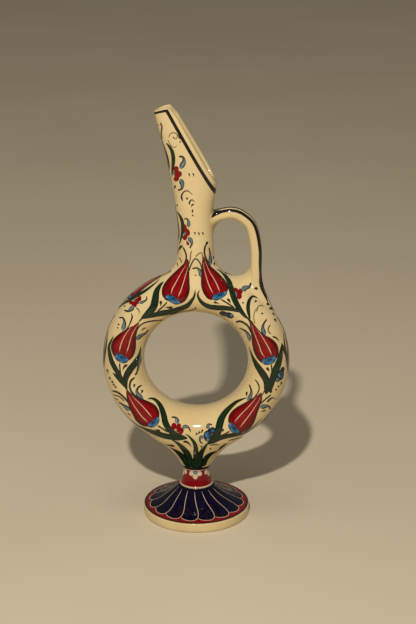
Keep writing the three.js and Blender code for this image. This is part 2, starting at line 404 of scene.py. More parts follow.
def glaze_skin(nodes, links, shader, vector):
    """Gloss that varies a little and a slow ripple in the glaze."""
    wear = nodes.new("ShaderNodeMapRange")
    wear.inputs["To Min"].default_value, wear.inputs["To Max"].default_value = GLOSS_RANGE
    links.new(noise(nodes, links, vector, GLOSS_SCALE, 3.0), wear.inputs["Value"])
    links.new(wear.outputs["Result"], shader.inputs["Roughness"])
    bump = nodes.new("ShaderNodeBump")
    bump.inputs["Strength"].default_value = RIPPLE_STRENGTH
    bump.inputs["Distance"].default_value = RIPPLE_HEIGHT
    links.new(noise(nodes, links, vector, RIPPLE_SCALE, 2.0), bump.inputs["Height"])
    links.new(bump.outputs["Normal"], shader.inputs["Normal"])


def ivory_glaze():
    """Ivory slip under clear glaze: cloudy tone, faint warm pooling and rare iron specks."""
    finish, nodes, links, shader = new_finish("ivory_glaze_painted", GLOSS, SHEEN)
    place = nodes.new("ShaderNodeTexCoord").outputs["Object"]
    cloud = ramp(nodes, links, noise(nodes, links, place, 16.0, 4.0), [
        (0.3, srgb(205, 181, 130)), (0.55, srgb(213, 190, 140)), (0.75, srgb(220, 199, 152))])
    speck = ramp(nodes, links, noise(nodes, links, place, 900.0, 1.0, 0.4), [(0.74, NONE), (0.8, HALF)])
    colour = mixed(nodes, links, speck, cloud, srgb(150, 112, 66))
    links.new(colour, shader.inputs["Base Color"])
    glaze_skin(nodes, links, shader, place)
    return finish


def brushed_paint(name, tones, specular):
    """Pigment under the glaze: streaks along the brush stroke, pooled darker at its edges."""
    finish, nodes, links, shader = new_finish(name, GLOSS, specular)
    thin, body, thick, edge = (srgb(*tone) for tone in tones)
    brush = nodes.new("ShaderNodeUVMap")
    brush.uv_map = "brush"
    stretch = nodes.new("ShaderNodeMapping")
    stretch.inputs["Scale"].default_value = (0.5, 5.0, 1.0)
    links.new(brush.outputs["UV"], stretch.inputs["Vector"])
    streak = ramp(nodes, links, noise(nodes, links, stretch.outputs["Vector"], 1.0, 4.0, 0.6), [
        (0.32, thick), (0.5, body), (0.7, thin)])
    split = nodes.new("ShaderNodeSeparateXYZ")
    links.new(brush.outputs["UV"], split.inputs["Vector"])
    pool = ramp(nodes, links, split.outputs["Y"], [(0.0, FULL), (0.2, NONE), (0.8, NONE), (1.0, FULL)])
    links.new(mixed(nodes, links, pool, streak, edge), shader.inputs["Base Color"])
    place = nodes.new("ShaderNodeTexCoord").outputs["Object"]
    glaze_skin(nodes, links, shader, place)
    return finish


# Pigments: name of the finish, then thin, full and thick paint and the pooled edge, as written colours; the
# pale calyx blue is also laid as painted highlights on the tulips
PIGMENTS = {
    "red": ("tulip_red", (146, 10, 14), (124, 3, 8), (100, 0, 5), (64, 0, 4)),
    "green": ("leaf_green", (34, 58, 32), (18, 38, 20), (9, 24, 13), (8, 16, 10)),
    "dark": ("outline_dark", (70, 58, 38), (40, 33, 24), (24, 20, 18), (24, 20, 18)),
    "olive": ("outline_olive", (124, 102, 58), (98, 79, 42), (74, 58, 32), (66, 51, 28)),
    "blue": ("calyx_blue", (50, 114, 150), (24, 92, 134), (12, 68, 110), (8, 42, 74)),
    "deep": ("calyx_deep", (20, 66, 100), (12, 48, 80), (8, 34, 62), (8, 24, 46)),
    # Pale calyx blue: on the tulips' calyxes it is a painted highlight
    "pale": ("calyx_pale", (104, 148, 170), (78, 130, 158), (58, 112, 144), (44, 94, 128)),
    "grey": ("leaflet_grey_blue", (128, 146, 148), (92, 114, 124), (66, 88, 102), (48, 62, 74)),
    "cream": ("petal_line_cream", (216, 192, 160), (204, 178, 146), (186, 158, 126), (175, 146, 115)),
    "black": ("calyx_outline", (34, 30, 30), (22, 19, 22), (14, 11, 14), (12, 10, 14)),
    "ink": ("blossom_ink", (36, 40, 52), (24, 28, 38), (16, 18, 28), (14, 16, 24)),
    "navy": ("petal_navy", (12, 8, 42), (6, 4, 30), (4, 2, 22), (3, 2, 16)),
}

# Pigments that shine less than the rest
DULLER = {"red": 0.3, "navy": 0.25}
IVORY = ivory_glaze()
PAINT = {colour: brushed_paint(name, tones, DULLER.get(colour, SHEEN))
         for colour, (name, *tones) in PIGMENTS.items()}

# Heights on the foot, in millimetres, at which its paint changes: to red, navy, cream and red
FOOT_ZONES = (7.3, 9.4, 23.3, 24.75)
ZONE_TOP = 40.0
ZONE_BLUR = 0.002
FOOT_SHEEN = 0.3


def pedestal_finish():
    """Painted foot: ivory standing rim, red border, navy skirt, cream bead and red collar, by height."""
    finish, nodes, links, shader = new_finish("pedestal_painted", GLOSS, FOOT_SHEEN)
    place = nodes.new("ShaderNodeTexCoord").outputs["Object"]
    split = nodes.new("ShaderNodeSeparateXYZ")
    links.new(place, split.inputs["Vector"])
    cloud = noise(nodes, links, place, 30.0, 4.0)
    colour = ramp(nodes, links, cloud, [(0.3, srgb(204, 180, 129)), (0.7, srgb(218, 196, 149))])
    red = ramp(nodes, links, cloud, [(0.3, srgb(106, 1, 8)), (0.7, srgb(134, 6, 14))])
    navy = ramp(nodes, links, cloud, [(0.3, srgb(5, 3, 24)), (0.7, srgb(12, 8, 42))])
    cream = ramp(nodes, links, cloud, [(0.3, srgb(190, 164, 132)), (0.7, srgb(210, 186, 154))])
    height = nodes.new("ShaderNodeMapRange")
    height.inputs["From Max"].default_value = ZONE_TOP * MM
    links.new(split.outputs["Z"], height.inputs["Value"])
    for edge, paint in zip(FOOT_ZONES, (red, navy, cream, red)):
        zone = ramp(nodes, links, height.outputs["Result"], [
            (edge / ZONE_TOP - ZONE_BLUR, NONE), (edge / ZONE_TOP + ZONE_BLUR, FULL)])
        colour = mixed(nodes, links, zone, colour, paint)
    links.new(colour, shader.inputs["Base Color"])
    glaze_skin(nodes, links, shader, place)
    return finish


# Clay members
def ring_point(turn, roll):
    """A point of the ring: the circle of the tube's middle plus an oval section."""
    out = TUBE_RADIUS + TUBE_WIDTH * np.cos(roll)
    side = TUBE_DEPTH * np.sin(roll) + 0 * turn
    return np.stack([out * np.cos(turn), side, RING_MID + out * np.sin(turn)], -1)


def make_ring():
    """Ring: its point, turned through a full circle both round the ring and round the tube."""
    rows, cols = 360, 120
    turn = np.linspace(0, 2 * np.pi, rows, endpoint=False)[:, None]
    roll = np.linspace(0, 2 * np.pi, cols, endpoint=False)[None, :]
    p = ring_point(turn, roll).reshape(-1, 3)
    normal, _ = clay_normal(body_soft, p)
    put_piece("ring_glazed", p, grid_faces(rows, cols, True), None, IVORY, ["ring_body"],
              normal)


# Where a fillet runs out on its host: distance at which it starts to dip, over which span and how deep
TUCK_START = 0.2
TUCK_SPAN = 0.15
TUCK_DEPTH = 0.12


def tuck(host, p):
    """Normals of the clay, and points that dip just under the host where a fillet has run out onto it."""
    normal, _ = clay_normal(body_soft, p)
    sink = np.clip((TUCK_START - host(p)) / TUCK_SPAN, 0.0, 1.0) * TUCK_DEPTH
    return p - normal * sink[..., None], normal


# The slanted mouth: from the heel by the handle up to the crown, and along to the lip
MOUTH_HEEL = (1.33 * NECK_RADIUS, BEAK_TOP - 0.475 * NECK_LENGTH)
MOUTH_CROWN = (-0.587 * BEAK_REACH, BEAK_TOP + 2.1)
MOUTH_SLOPE = (MOUTH_HEEL[1] - MOUTH_CROWN[1]) / (MOUTH_HEEL[0] - MOUTH_CROWN[0])

# The lip: its level under the crown, its fall towards the pouring side as a power, how far it rounds into
# the slope, which way it lifts and how much flatter it bulges
LIP_LEVEL = MOUTH_CROWN[1] - 1.76
LIP_FALL = 3.8
LIP_POWER = 1.6
LIP_ROUND = 1.0
LIP_LIFT = np.array([-0.1, 0.0, 1.0])
LIP_FLATTER = 0.55

# The rim's drop, the height over which the wall thickens towards it, and where its edge is looked for
RIM_DROP = 0.3
WALL_EASE = 8.0
MOUTH_LOWEST = RING_TOP + 20.0
MOUTH_HIGHEST = BEAK_TOP + 6.0


def mouth_lines(x):
    """Heights of the mouth's straight slope and of its lip, which falls away towards the pouring side."""
    slope = MOUTH_CROWN[1] + MOUTH_SLOPE * (x - MOUTH_CROWN[0])
    fore = np.maximum(MOUTH_CROWN[0] - x, 0.0) / (BEAK_REACH + MOUTH_CROWN[0])
    return slope, LIP_LEVEL - LIP_FALL * fore ** LIP_POWER


def mouth_edge(x, inward, drop):
    """The lower of the slope, moved in square to itself, and of the lip, moved down."""
    slope, lip = mouth_lines(x)
    return melt(slope - inward * np.hypot(1.0, MOUTH_SLOPE), lip - drop, LIP_ROUND)


def neck_wall(turn, z, inset):
    """The neck's oval wall at heights z, moved in by an inset."""
    mid, half, depth = section(NECK_TABLE, z)
    return np.stack([mid + (half - inset) * np.cos(turn), (depth - inset) * np.sin(turn), z], -1)


def mouth_height(turn, inward, drop, inset=0.0):
    """Height at which the neck's wall meets the mouth's edge, found by halving."""
    low = np.full(turn.shape, MOUTH_LOWEST)
    high = np.full(turn.shape, MOUTH_HIGHEST)
    for _ in range(40):
        z = (low + high) / 2
        p = neck_wall(turn, z, inset)
        under = mouth_edge(p[..., 0], inward, drop) > z
        low = np.where(under, z, low)
        high = np.where(under, high, z)
    return (low + high) / 2


def make_neck():
    """Neck: oval sections by height up to the slanted mouth, a half-round rim, and the inner wall
    back down."""
    turn = np.linspace(0, 2 * np.pi, 180, endpoint=False)[None, :]
    rim = mouth_height(turn, MOUTH_BULGE, RIM_DROP)
    share = np.linspace(0, 1, 150)[:, None] ** 0.9
    outer = neck_wall(turn + 0 * share, NECK_HEM + share * (rim - NECK_HEM), 0.0)
    root = outer[..., 2] < NECK_FILLET_TOP
    middle = outer * UPRIGHT
    outer[root] = cast(body_gap, middle[root], unit((outer - middle)[root]), NECK_CAST)
    outer, normal = tuck(ring_gap, outer)
    tip = neck_wall(turn, rim, 0.0)
    inner_rim = mouth_height(turn, MOUTH_BULGE, RIM_DROP, MOUTH_WALL)
    inner_tip = neck_wall(turn, inner_rim, MOUTH_WALL)
    slope, lip_line = mouth_lines(tip[..., 0])
    level = np.clip((slope - lip_line) / 2.0 + 0.5, 0.0, 1.0)[..., None]
    lift = unit(level * LIP_LIFT + (1 - level) * unit(np.array([-MOUTH_SLOPE, 0.0, 1.0])))
    bend = np.linspace(0, np.pi, 12)[1:-1][:, None, None]
    bulge = lift * MOUTH_BULGE * (1 - LIP_FLATTER * level) * np.sin(bend)
    lip = tip + (inner_tip - tip) * (1 - np.cos(bend)) / 2 + bulge
    fall = np.linspace(0, 1, 70)[:, None]
    z = inner_rim + fall * (BORE_FLOOR - inner_rim)
    wall = NECK_WALL + (MOUTH_WALL - NECK_WALL) * np.exp((z - inner_rim) / WALL_EASE)
    inner = neck_wall(turn + 0 * fall, z, wall)
    p = np.concatenate([outer, lip, inner], 0)
    rows, cols = p.shape[:2]
    bare = np.zeros((rows - len(outer) + 1, cols, 3))
    normal = np.concatenate([normal[:-1], bare], 0).reshape(-1, 3)
    put_piece("neck_glazed", p.reshape(-1, 3), grid_faces(rows, cols, True), None, IVORY,
              ["neck_beak", "neck_fillet"], normal)


def make_stem():
    """Stem: flared oval sections from the collar, with a fillet into the ring above."""
    turn = np.linspace(0, 2 * np.pi, 112, endpoint=False)[None, :]
    share = np.linspace(0, 1, 70)[:, None]
    low, high = COLLAR_TOP + COLLAR_SEAT, STEM_END + STEM_INTO_RING
    z = low + share * (high - COLLAR_TOP)
    mid, half, depth = section(STEM_TABLE, z)
    p = np.stack([mid + half * np.cos(turn), depth * np.sin(turn), z + 0 * turn], -1)
    middle = p * UPRIGHT
    p = cast(body_gap, middle, unit(p - middle), STEM_CAST)
    p, normal = tuck(ring_gap, p)
    ends = [low * UPRIGHT, high * UPRIGHT]
    put_tube("stem_glazed", p, ends, IVORY, ["stem_saddle"], normal)


def grid_normals(p):
    """Normals of a closed tube of points, from the crossed steps along and around it."""
    along = np.gradient(p, axis=0)
    around = np.roll(p, -1, axis=1) - np.roll(p, 1, axis=1)
    return unit(np.cross(along, around))


# The handle's flare onto the clay: where along the path its root begins, the reach of the flare on all
# sides, on the loop's side and more of it at the root, and the share of that reach that it spreads
ROOT_FROM = 0.4
ROOT_SPAN = 0.2
FLARE_REACH = 4.0
FLARE_LOOP = 5.5
FLARE_ROOT = 8.5
FLARE_FOCUS = 3.0
FLARE_FOCUS_ROOT = 0.8
SPREAD_ROOT = 0.35
SPREAD_SIDE = 0.8
SPREAD_LEAST = 0.2
END_CROWDING = 0.8
SHADE_EASE = 3.0


def handle_skin(along, roll):
    """Handle: a squarish rod along its path, turned from the loop's side; near the clay it flares along
    the clay's own face by a quarter circle, kept at the same distance from it."""
    run = along * (len(HANDLE_PATH) - 1)
    at = np.arange(len(HANDLE_PATH))
    mid_x, mid_z = (np.interp(run, at, HANDLE_PATH[:, i]) for i in range(2))
    side_x, side_z = (np.interp(run, at, HANDLE_ACROSS[:, i]) for i in range(2))
    c, s = np.cos(roll), np.sin(roll)
    away = np.stack([side_x * c, s + 0 * side_x, side_z * c], -1)
    q = HANDLE_SQUARE
    thick = (np.abs(c / HANDLE_HALF) ** q + np.abs(s / HANDLE_DEPTH) ** q) ** (-1 / q)
    p = np.stack([mid_x, 0 * mid_x, mid_z], -1) + away * thick[..., None]
    low = np.clip((along - ROOT_FROM) / ROOT_SPAN, 0.0, 1.0)
    loop = np.clip(c, 0.0, 1.0) ** (FLARE_FOCUS - FLARE_FOCUS_ROOT * low)
    reach = FLARE_REACH + (FLARE_LOOP + FLARE_ROOT * low) * loop
    share = np.maximum(np.maximum((1.0 + SPREAD_ROOT * low) * loop, SPREAD_SIDE * s ** 2), SPREAD_LEAST)
    left = body_gap(p)
    near = np.clip(1.0 - left / reach, 0.0, 1.0)
    host, _ = clay_normal(body_soft, p)
    slide = unit(away - host * (away * host).sum(-1, keepdims=True) * near[..., None])
    p = p + slide * (share * reach * (1.0 - np.sqrt(1.0 - near ** 2)))[..., None]
    for _ in range(3):
        normal, steep = clay_normal(body_gap, p)
        p = p - normal * (np.sign(near) * (body_gap(p) - left) / steep)[..., None]
    return p, away, near, slide


def make_handle():
    """Handle: its skin as a closed tube, shaded softly into the clay where it runs out."""
    roll = np.linspace(0, 2 * np.pi, 72, endpoint=False)[None, :]
    run = np.linspace(0, 1, 340)[:, None]
    along = run - END_CROWDING * np.sin(2 * np.pi * run) / (2 * np.pi)
    p, away, near, slide = handle_skin(along + 0 * roll, roll + 0 * along)
    normal = grid_normals(p)
    normal = normal * np.sign((normal * away).sum(-1).mean())
    host, _ = clay_normal(body_soft, p)
    arc = unit(host * near[..., None] + slide * np.sqrt(1.0 - near ** 2)[..., None])
    normal = unit(normal + (arc - normal) * np.clip(near * SHADE_EASE, 0.0, 1.0)[..., None])
    flat, normal = put_tube("handle_glazed", p, [p[0].mean(0), p[-1].mean(0)], IVORY,
                            ["handle", "handle_top_fillet", "handle_root_fillet"], normal)
    outside = body_gap(flat) > ON_CLAY
    return flat[outside], normal[outside]


# The skirt: height of its edge, radius of its outer and inner end, and its rise, run and power
SKIRT_EDGE = 7.5
SKIRT_OUT = 39.2
SKIRT_IN = 12.2
SKIRT_RISE = 15.4
SKIRT_RUN = 27.8
SKIRT_POWER = 1.7

# The rest of the foot's outline, as radius and height: hollow below, standing rim, bead and collar
FOOT_HOLLOW = curve([(0.0, 28.5), (3.8, 26.9), (7.0, 21.5), (17.0, 14.3), (26.0, 8.4), (31.6, 5.6),
                     (34.5, 0.6)], 6)
FOOT_STAND = [(34.9, 0.05), (35.3, 0.0), (39.2, 0.0), (39.8, 0.12), (40.3, 0.5), (40.5, 1.0), (40.5, 3.5),
              (40.5, 6.0), (40.45, 6.6), (40.3, 7.0), (40.05, 7.28), (39.7, 7.42)]
FOOT_BEAD = [(12.5, 23.6), (12.8, 23.85), (12.85, 24.1), (12.75, 24.4), (12.4, 24.65)]
COLLAR_LINE = curve([(12.1, 24.8), (10.9, 28.7), (10.1, 33.0), (9.7, 36.5)], 8)
FOOT_CAP = [(9.0, COLLAR_TOP), (0.0, COLLAR_TOP)]


def skirt_height(radius):
    """Height of the skirt's top: a power curve that steepens towards the collar."""
    return SKIRT_EDGE + SKIRT_RISE * np.clip((FOOT_RADIUS - radius) / SKIRT_RUN, 0.0, 1.0) ** SKIRT_POWER


def foot_profile():
    """The turned outline from the axis underneath, round the rim and up to the collar."""
    radius = np.linspace(SKIRT_OUT, SKIRT_IN, 40)
    skirt = np.stack([radius, skirt_height(radius)], -1)
    return np.vstack([FOOT_HOLLOW, FOOT_STAND, skirt, FOOT_BEAD, COLLAR_LINE, FOOT_CAP])


def make_foot():
    """Foot: the turned outline spun round the axis."""
    outline = foot_profile()
    turn = np.linspace(0, 2 * np.pi, 180, endpoint=False)[None, :]
    r = outline[1:-1, 0][:, None]
    z = outline[1:-1, 1][:, None]
    p = np.stack([r * np.cos(turn), r * np.sin(turn), z + 0 * turn], -1)
    ends = [outline[0, 1] * UPRIGHT, outline[-1, 1] * UPRIGHT]
    put_tube("pedestal_glazed", p, ends, pedestal_finish(), ["pedestal_foot"])


make_ring()
make_neck()
make_stem()
HANDLE_POINTS, HANDLE_NORMALS = make_handle()
make_foot()


# Painted ornament: every brush stroke is a thin closed ribbon laid on the clay

# Lines of sight: where they start before the carafe, and how far a step goes on
SIGHT_START = -48.0
SIGHT_PACE = 0.7
SIGHT_STRIDE = 3.0

# Where the handle's two roots stand before the clay in the photo, in pixels: left, right, top and low;
# how near a line of sight passes to a root's point, and how high paint lies on the root
HANDLE_ROOTS = ((214.0, 300.0, 262.0, 330.0), (209.0, 224.0, 207.0, 223.0))
ROOT_GRASP = 2.0
ROOT_LIFT = 0.16
ROOT_FACING = -0.05

# Steps for slopes on the handle and the foot, and the ways round the ring's rim and the collar
ALONG_STEP = 0.003
ROLL_STEP = 0.03
RADIUS_STEP = 0.2
COLLAR_STEP = 0.3
RIM_ROUND = 17.5
COLLAR_MIDDLE = 10.4
COLLAR_FRONT = np.radians(91.4)


def seen(pixels):
    """Where lines of sight through photo pixels meet the clay, with its outward direction."""
    aside = (pixels[:, :1] - PHOTO_MID[0]) * RIGHT
    above = (PHOTO_MID[1] - pixels[:, 1:]) * UP
    aim = unit(FORWARD + (aside + above) / FOCAL)
    far = (SIGHT_START - EYE[1]) / aim[:, 1]
    best = np.full(len(far), np.inf)
    keep = far
    for _ in range(60):
        gap = body_gap(EYE + aim * far[:, None])
        keep = np.where(gap < best, far, keep)
        best = np.minimum(gap, best)
        far = far + np.clip(SIGHT_PACE * gap, -SIGHT_STRIDE, SIGHT_STRIDE)
    p = settle(body_gap, EYE + aim * keep[:, None], 3)
    normal, _ = clay_normal(body_soft, p)
    for left, right, top, low in HANDLE_ROOTS:
        root = (pixels > (left, top)).all(-1) & (pixels < (right, low)).all(-1)
        p[root], normal[root] = over_handle(aim[root], p[root], normal[root])
    return p, normal


def over_handle(aim, p, normal):
    """Points brought forward onto the handle's root: each ray meets the plane of the handle point that it
    passes nearest."""
    sight = unit(HANDLE_POINTS - EYE)
    front = (HANDLE_NORMALS * sight).sum(-1) < ROOT_FACING
    skin, lean, sight = HANDLE_POINTS[front], HANDLE_NORMALS[front], sight[front]
    best = np.argmax(aim @ sight.T, axis=1)
    skin, lean = skin[best], lean[best]
    touch = (aim * sight[best]).sum(-1) > np.cos(ROOT_GRASP / FOCAL)
    far = ((skin - EYE) * lean).sum(-1) / np.minimum((aim * lean).sum(-1), ROOT_FACING)
    q = EYE + aim * far[:, None]
    q = np.where(np.linalg.norm(q - skin, axis=-1, keepdims=True) < ROOT_GRASP, q, skin)
    before = np.linalg.norm(q - EYE, axis=-1) < np.linalg.norm(p - EYE, axis=-1) - ON_CLAY
    take = (touch & before)[:, None]
    return np.where(take, q + ROOT_LIFT * lean, p), np.where(take, lean, normal)


def seen_behind(pixels):
    """The same place mirrored to the far side of the ring."""
    p, normal = seen(pixels)
    flip = np.array([1.0, -1.0, 1.0])
    return p * flip, normal * flip


def on_handle(spots):
    """Place on the handle: share along its path and turn round it, 0 facing outwards."""
    along, roll = spots[:, 0], np.pi - spots[:, 1]
    p, away = handle_skin(along, roll)[:2]
    ahead = handle_skin(along + ALONG_STEP, roll)[0] - handle_skin(along - ALONG_STEP, roll)[0]
    aside = handle_skin(along, roll + ROLL_STEP)[0] - handle_skin(along, roll - ROLL_STEP)[0]
    normal = unit(np.cross(ahead, aside))
    return p, normal * np.sign((normal * away).sum(-1, keepdims=True))


def on_rim(spots):
    """Place on the ring's outer rim: degrees round the ring from the handle's side, and millimetres
    across."""
    p = ring_point(np.radians(spots[:, 0]), spots[:, 1] / RIM_ROUND)
    p = settle(body_gap, p, 2)
    return p, clay_normal(body_soft, p)[0]


def on_neck(spots):
    """Place on the neck's wall: millimetres round from the pouring side, and height."""
    turn = np.pi + spots[:, 0] / NECK_RADIUS
    p = neck_wall(turn, spots[:, 1], 0.0)
    p = settle(body_gap, p, 2)
    return p, clay_normal(body_soft, p)[0]


def on_foot(spots):
    """Place on the foot seen from above: degrees round and radius, at the turned outline's height."""
    outline = foot_profile()
    top = outline[np.argmax(outline[:, 0]):]
    top = top[np.argsort(top[:, 0])]
    turn, radius = np.radians(spots[:, 0]), spots[:, 1]
    z, outer, inner = (np.interp(radius + step, top[:, 0], top[:, 1])
                       for step in (0.0, RADIUS_STEP, -RADIUS_STEP))
    rise = (outer - inner) / (2 * RADIUS_STEP)
    p = np.stack([radius * np.cos(turn), radius * np.sin(turn), z], -1)
    return p, unit(np.stack([-rise * np.cos(turn), -rise * np.sin(turn), 1.0 + 0 * z], -1))


def on_collar(spots):
    """Place on the collar: millimetres round from the front at its middle radius, and height."""
    turn = spots[:, 0] / COLLAR_MIDDLE - COLLAR_FRONT
    radius, below = (np.interp(spots[:, 1] - step, COLLAR_LINE[:, 1], COLLAR_LINE[:, 0])
                     for step in (0.0, COLLAR_STEP))
    lean = (below - radius) / COLLAR_STEP
    p = np.stack([radius * np.cos(turn), radius * np.sin(turn), spots[:, 1]], -1)
    normal = unit(np.stack([np.cos(turn), np.sin(turn), lean], -1))
    above = spots[:, 1] > COLLAR_TOP
    p[above] = settle(body_gap, p[above], 3)
    normal[above] = clay_normal(body_soft, p[above])[0]
    return p, normal


# Strokes by chart; the layer that each colour lies in; points across a stroke of each kind
STROKES = {}
LAYER = {"red": 1, "green": 1, "navy": 1, "cream": 2, "ink": 2, "olive": 3, "blue": 3, "grey": 3, "dark": 4,
         "deep": 4, "pale": 4, "black": 4}
ACROSS = {"line": 3, "leaf": 5, "comma": 3, "dot": 5, "tail": 3, "blunt": 5, "leaflet": 5, "fan": 5}
BRUSH_ACROSS = max(ACROSS.values())
BRUSH_HEAD = 0.3

# How much wider than its brush a stroke may lie on slanting clay, and the photo's scale
MOST_STRETCH = 1.5
PIXELS_PER_MM = FOCAL / np.linalg.norm(AIM - EYE)

# Paint in millimetres: its lowest layer, each further layer, a stroke's crown, and its depth in the clay
PAINT_BASE = 0.035
PAINT_LAYER = 0.022
PAINT_CROWN = 0.015
PAINT_DEPTH = 0.12

# Streaks along a stroke: pattern per millimetre, and its shift from stroke to stroke
STREAK_SCALE = 0.35
STREAK_SHIFT = 0.0137


def brush_width(kind, s):
    """Share of the full width along a stroke: even line, leaf, leaflet, comma, dot, tail, blunt leaf
    or fan leaf."""
    if kind == "leaf":
        return np.sin(np.pi * s ** 0.85) ** 0.75 * 0.96 + 0.04
    if kind == "blunt":
        return np.minimum(np.sqrt(np.clip(6.0 * s, 0.05, 1.0)), (1.02 - s) ** 0.7)
    if kind == "fan":
        return np.minimum(np.sqrt(np.clip(8.0 * s, 0.05, 1.0)), 1.5 * (1.03 - s) ** 0.8)
    if kind == "comma":
        swell = np.sqrt(np.clip(1 - (1 - s / BRUSH_HEAD) ** 2, 0.03, 1))
        taper = np.maximum(s - BRUSH_HEAD, 0.0) / (1.0 - BRUSH_HEAD)
        return np.where(s < BRUSH_HEAD, swell, 1.03 - taper ** 0.9)
    if kind == "leaflet":
        swell = np.sqrt(np.clip(1 - (1 - s / BRUSH_HEAD) ** 2, 0.04, 1))
        fade = np.clip(1 - (s - BRUSH_HEAD) / 0.5, 0.0, 1.0)
        return np.where(s < BRUSH_HEAD, swell, 0.2 + 0.8 * fade ** 1.3)
    if kind == "dot":
        return np.sqrt(np.clip(1 - (2 * s - 1) ** 2, 0.02, 1))
    if kind == "tail":
        return np.minimum(np.clip(8 * s, 0.3, 1.0), (1.04 - s) ** 0.6)
    return np.clip(np.minimum(7 * s, 7 * (1 - s)) + 0.3, 0, 1.0)


def mark(chart, colour, grid):
    """Keeps a painted shape, which is a grid of places in a chart."""
    STROKES.setdefault(chart, []).append((colour, grid))


def beside(line):
    """Directions square to a line, to one side of it."""
    along = unit(np.gradient(line, axis=0))
    return np.stack([-along[:, 1], along[:, 0]], -1)


def brushed(spine, kind, width):
    """A stroke's grid: its middle line, moved to each side by half its width."""
    half = brush_width(kind, np.linspace(0, 1, len(spine))) * width / 2
    t = np.linspace(-1, 1, ACROSS[kind])
    return spine[:, None, :] + beside(spine)[:, None, :] * (half[:, None] * t)[..., None]


def stroke(chart, colour, kind, width, points, step=1.2):
    """A stroke along a smooth line, with a row of points at about each step."""
    length = np.linalg.norm(np.diff(np.asarray(points, float), axis=0), axis=1).sum()
    count = int(np.clip(length / step, 7, 60))
    mark(chart, colour, brushed(spaced(points, count), kind, width))


def petal(chart, colour, left, right, count=30, across=13):
    """A filled shape between two smooth edges."""
    one, two = spaced(left, count), spaced(right, count)
    t = np.linspace(0, 1, across)[None, :, None]
    mark(chart, colour, one[:, None, :] * (1 - t) + two[:, None, :] * t)


def dab(chart, colour, width, first, last):
    """An oval dab of paint from one place to another."""
    middle = ((first[0] + last[0]) / 2, (first[1] + last[1]) / 2)
    stroke(chart, colour, "dot", width, [first, middle, last])


def leaflet(chart, width, line, heavy):
    """A grey-blue leaflet with a hooked dark tip: its outline runs along both sides, heavier on one."""
    stroke(chart, "grey", "leaflet", width, line)
    spine = spaced(line, 14)
    half = brush_width("leaflet", np.linspace(0, 1, len(spine)))[:, None] * width / 2
    aside = heavy * (beside(spine) * half)[1:]
    fine = width / 3.0
    stroke(chart, "dark", "line", 1.0 * fine, spine[1:] + aside)
    stroke(chart, "dark", "line", 0.6 * fine, spine[1:] - aside)
    stroke(chart, "dark", "comma", 1.3 * fine, spine[:8:-1])


def tulip(chart, left, right, creams, calyx, fine=1.0):
    """A red tulip with dark outlines, two cream petal lines and at its foot a scalloped blue calyx with
    painted highlights.
    """
    petal(chart, "red", left, right)
    for line in creams:
        stroke(chart, "cream", "tail", 1.05 * fine, line)
    stroke(chart, "dark", "line", 1.1 * fine, left)
    stroke(chart, "dark", "line", 1.1 * fine, right)
    petal(chart, "blue", calyx[0], calyx[1], 24, 9)
    top, low = spaced(calyx[0], 41), spaced(calyx[1], 41)

    def inside(*places):
        """Points by their share along the calyx and their share from its top to its bottom."""
        return [top[int(40 * u)] * (1 - v) + low[int(40 * u)] * v for u, v in places]

    # Painted highlights: pale blue dabs at the calyx's two ends and along its foot
    stroke(chart, "pale", "leaf", 2.0 * fine, inside((0.03, 0.4), (0.12, 0.5), (0.24, 0.6)))
    stroke(chart, "pale", "leaf", 2.0 * fine, inside((0.78, 0.55), (0.88, 0.5), (0.97, 0.5)))
    stroke(chart, "pale", "leaf", 1.0 * fine, inside((0.35, 0.85), (0.55, 0.9), (0.75, 0.85)))
    stroke(chart, "deep", "leaf", 2.2 * fine, inside((0.38, 0.35), (0.55, 0.42), (0.74, 0.38)))
    for u in (0.3, 0.62):
        stroke(chart, "black", "tail", 0.6 * fine, inside((u, -0.15), (u, 0.05), (u + 0.02, 0.25)))
    stroke(chart, "black", "line", 0.7 * fine, calyx[1])


def middles(grid):
    """A stroke's middle line, once for each point across; a filled shape is its own middle."""
    across = grid.shape[1]
    line = grid if across > BRUSH_ACROSS else np.repeat(grid[:, [across // 2]], across, 1)
    return line.reshape(-1, 2)


def unstretched(chart, marks, flat, points, normals):
    """Stroke edges drawn back towards the stroke's middle where a slanting view would widen the brush
    too much."""
    line = np.vstack([middles(grid) for _, grid in marks])
    middle, _ = chart(line)
    away = points - middle
    allowed = MOST_STRETCH * np.linalg.norm(flat - line, axis=-1) / PIXELS_PER_MM
    share = allowed / np.maximum(np.linalg.norm(away, axis=-1), 1e-9)
    move = (share < 1.0) & (allowed > 0.0) & (body_gap(points) < ON_CLAY)
    points[move] = settle(body_gap, (middle + away * share[:, None])[move], 2)
    normals[move] = clay_normal(body_soft, points[move])[0]
    return points, normals


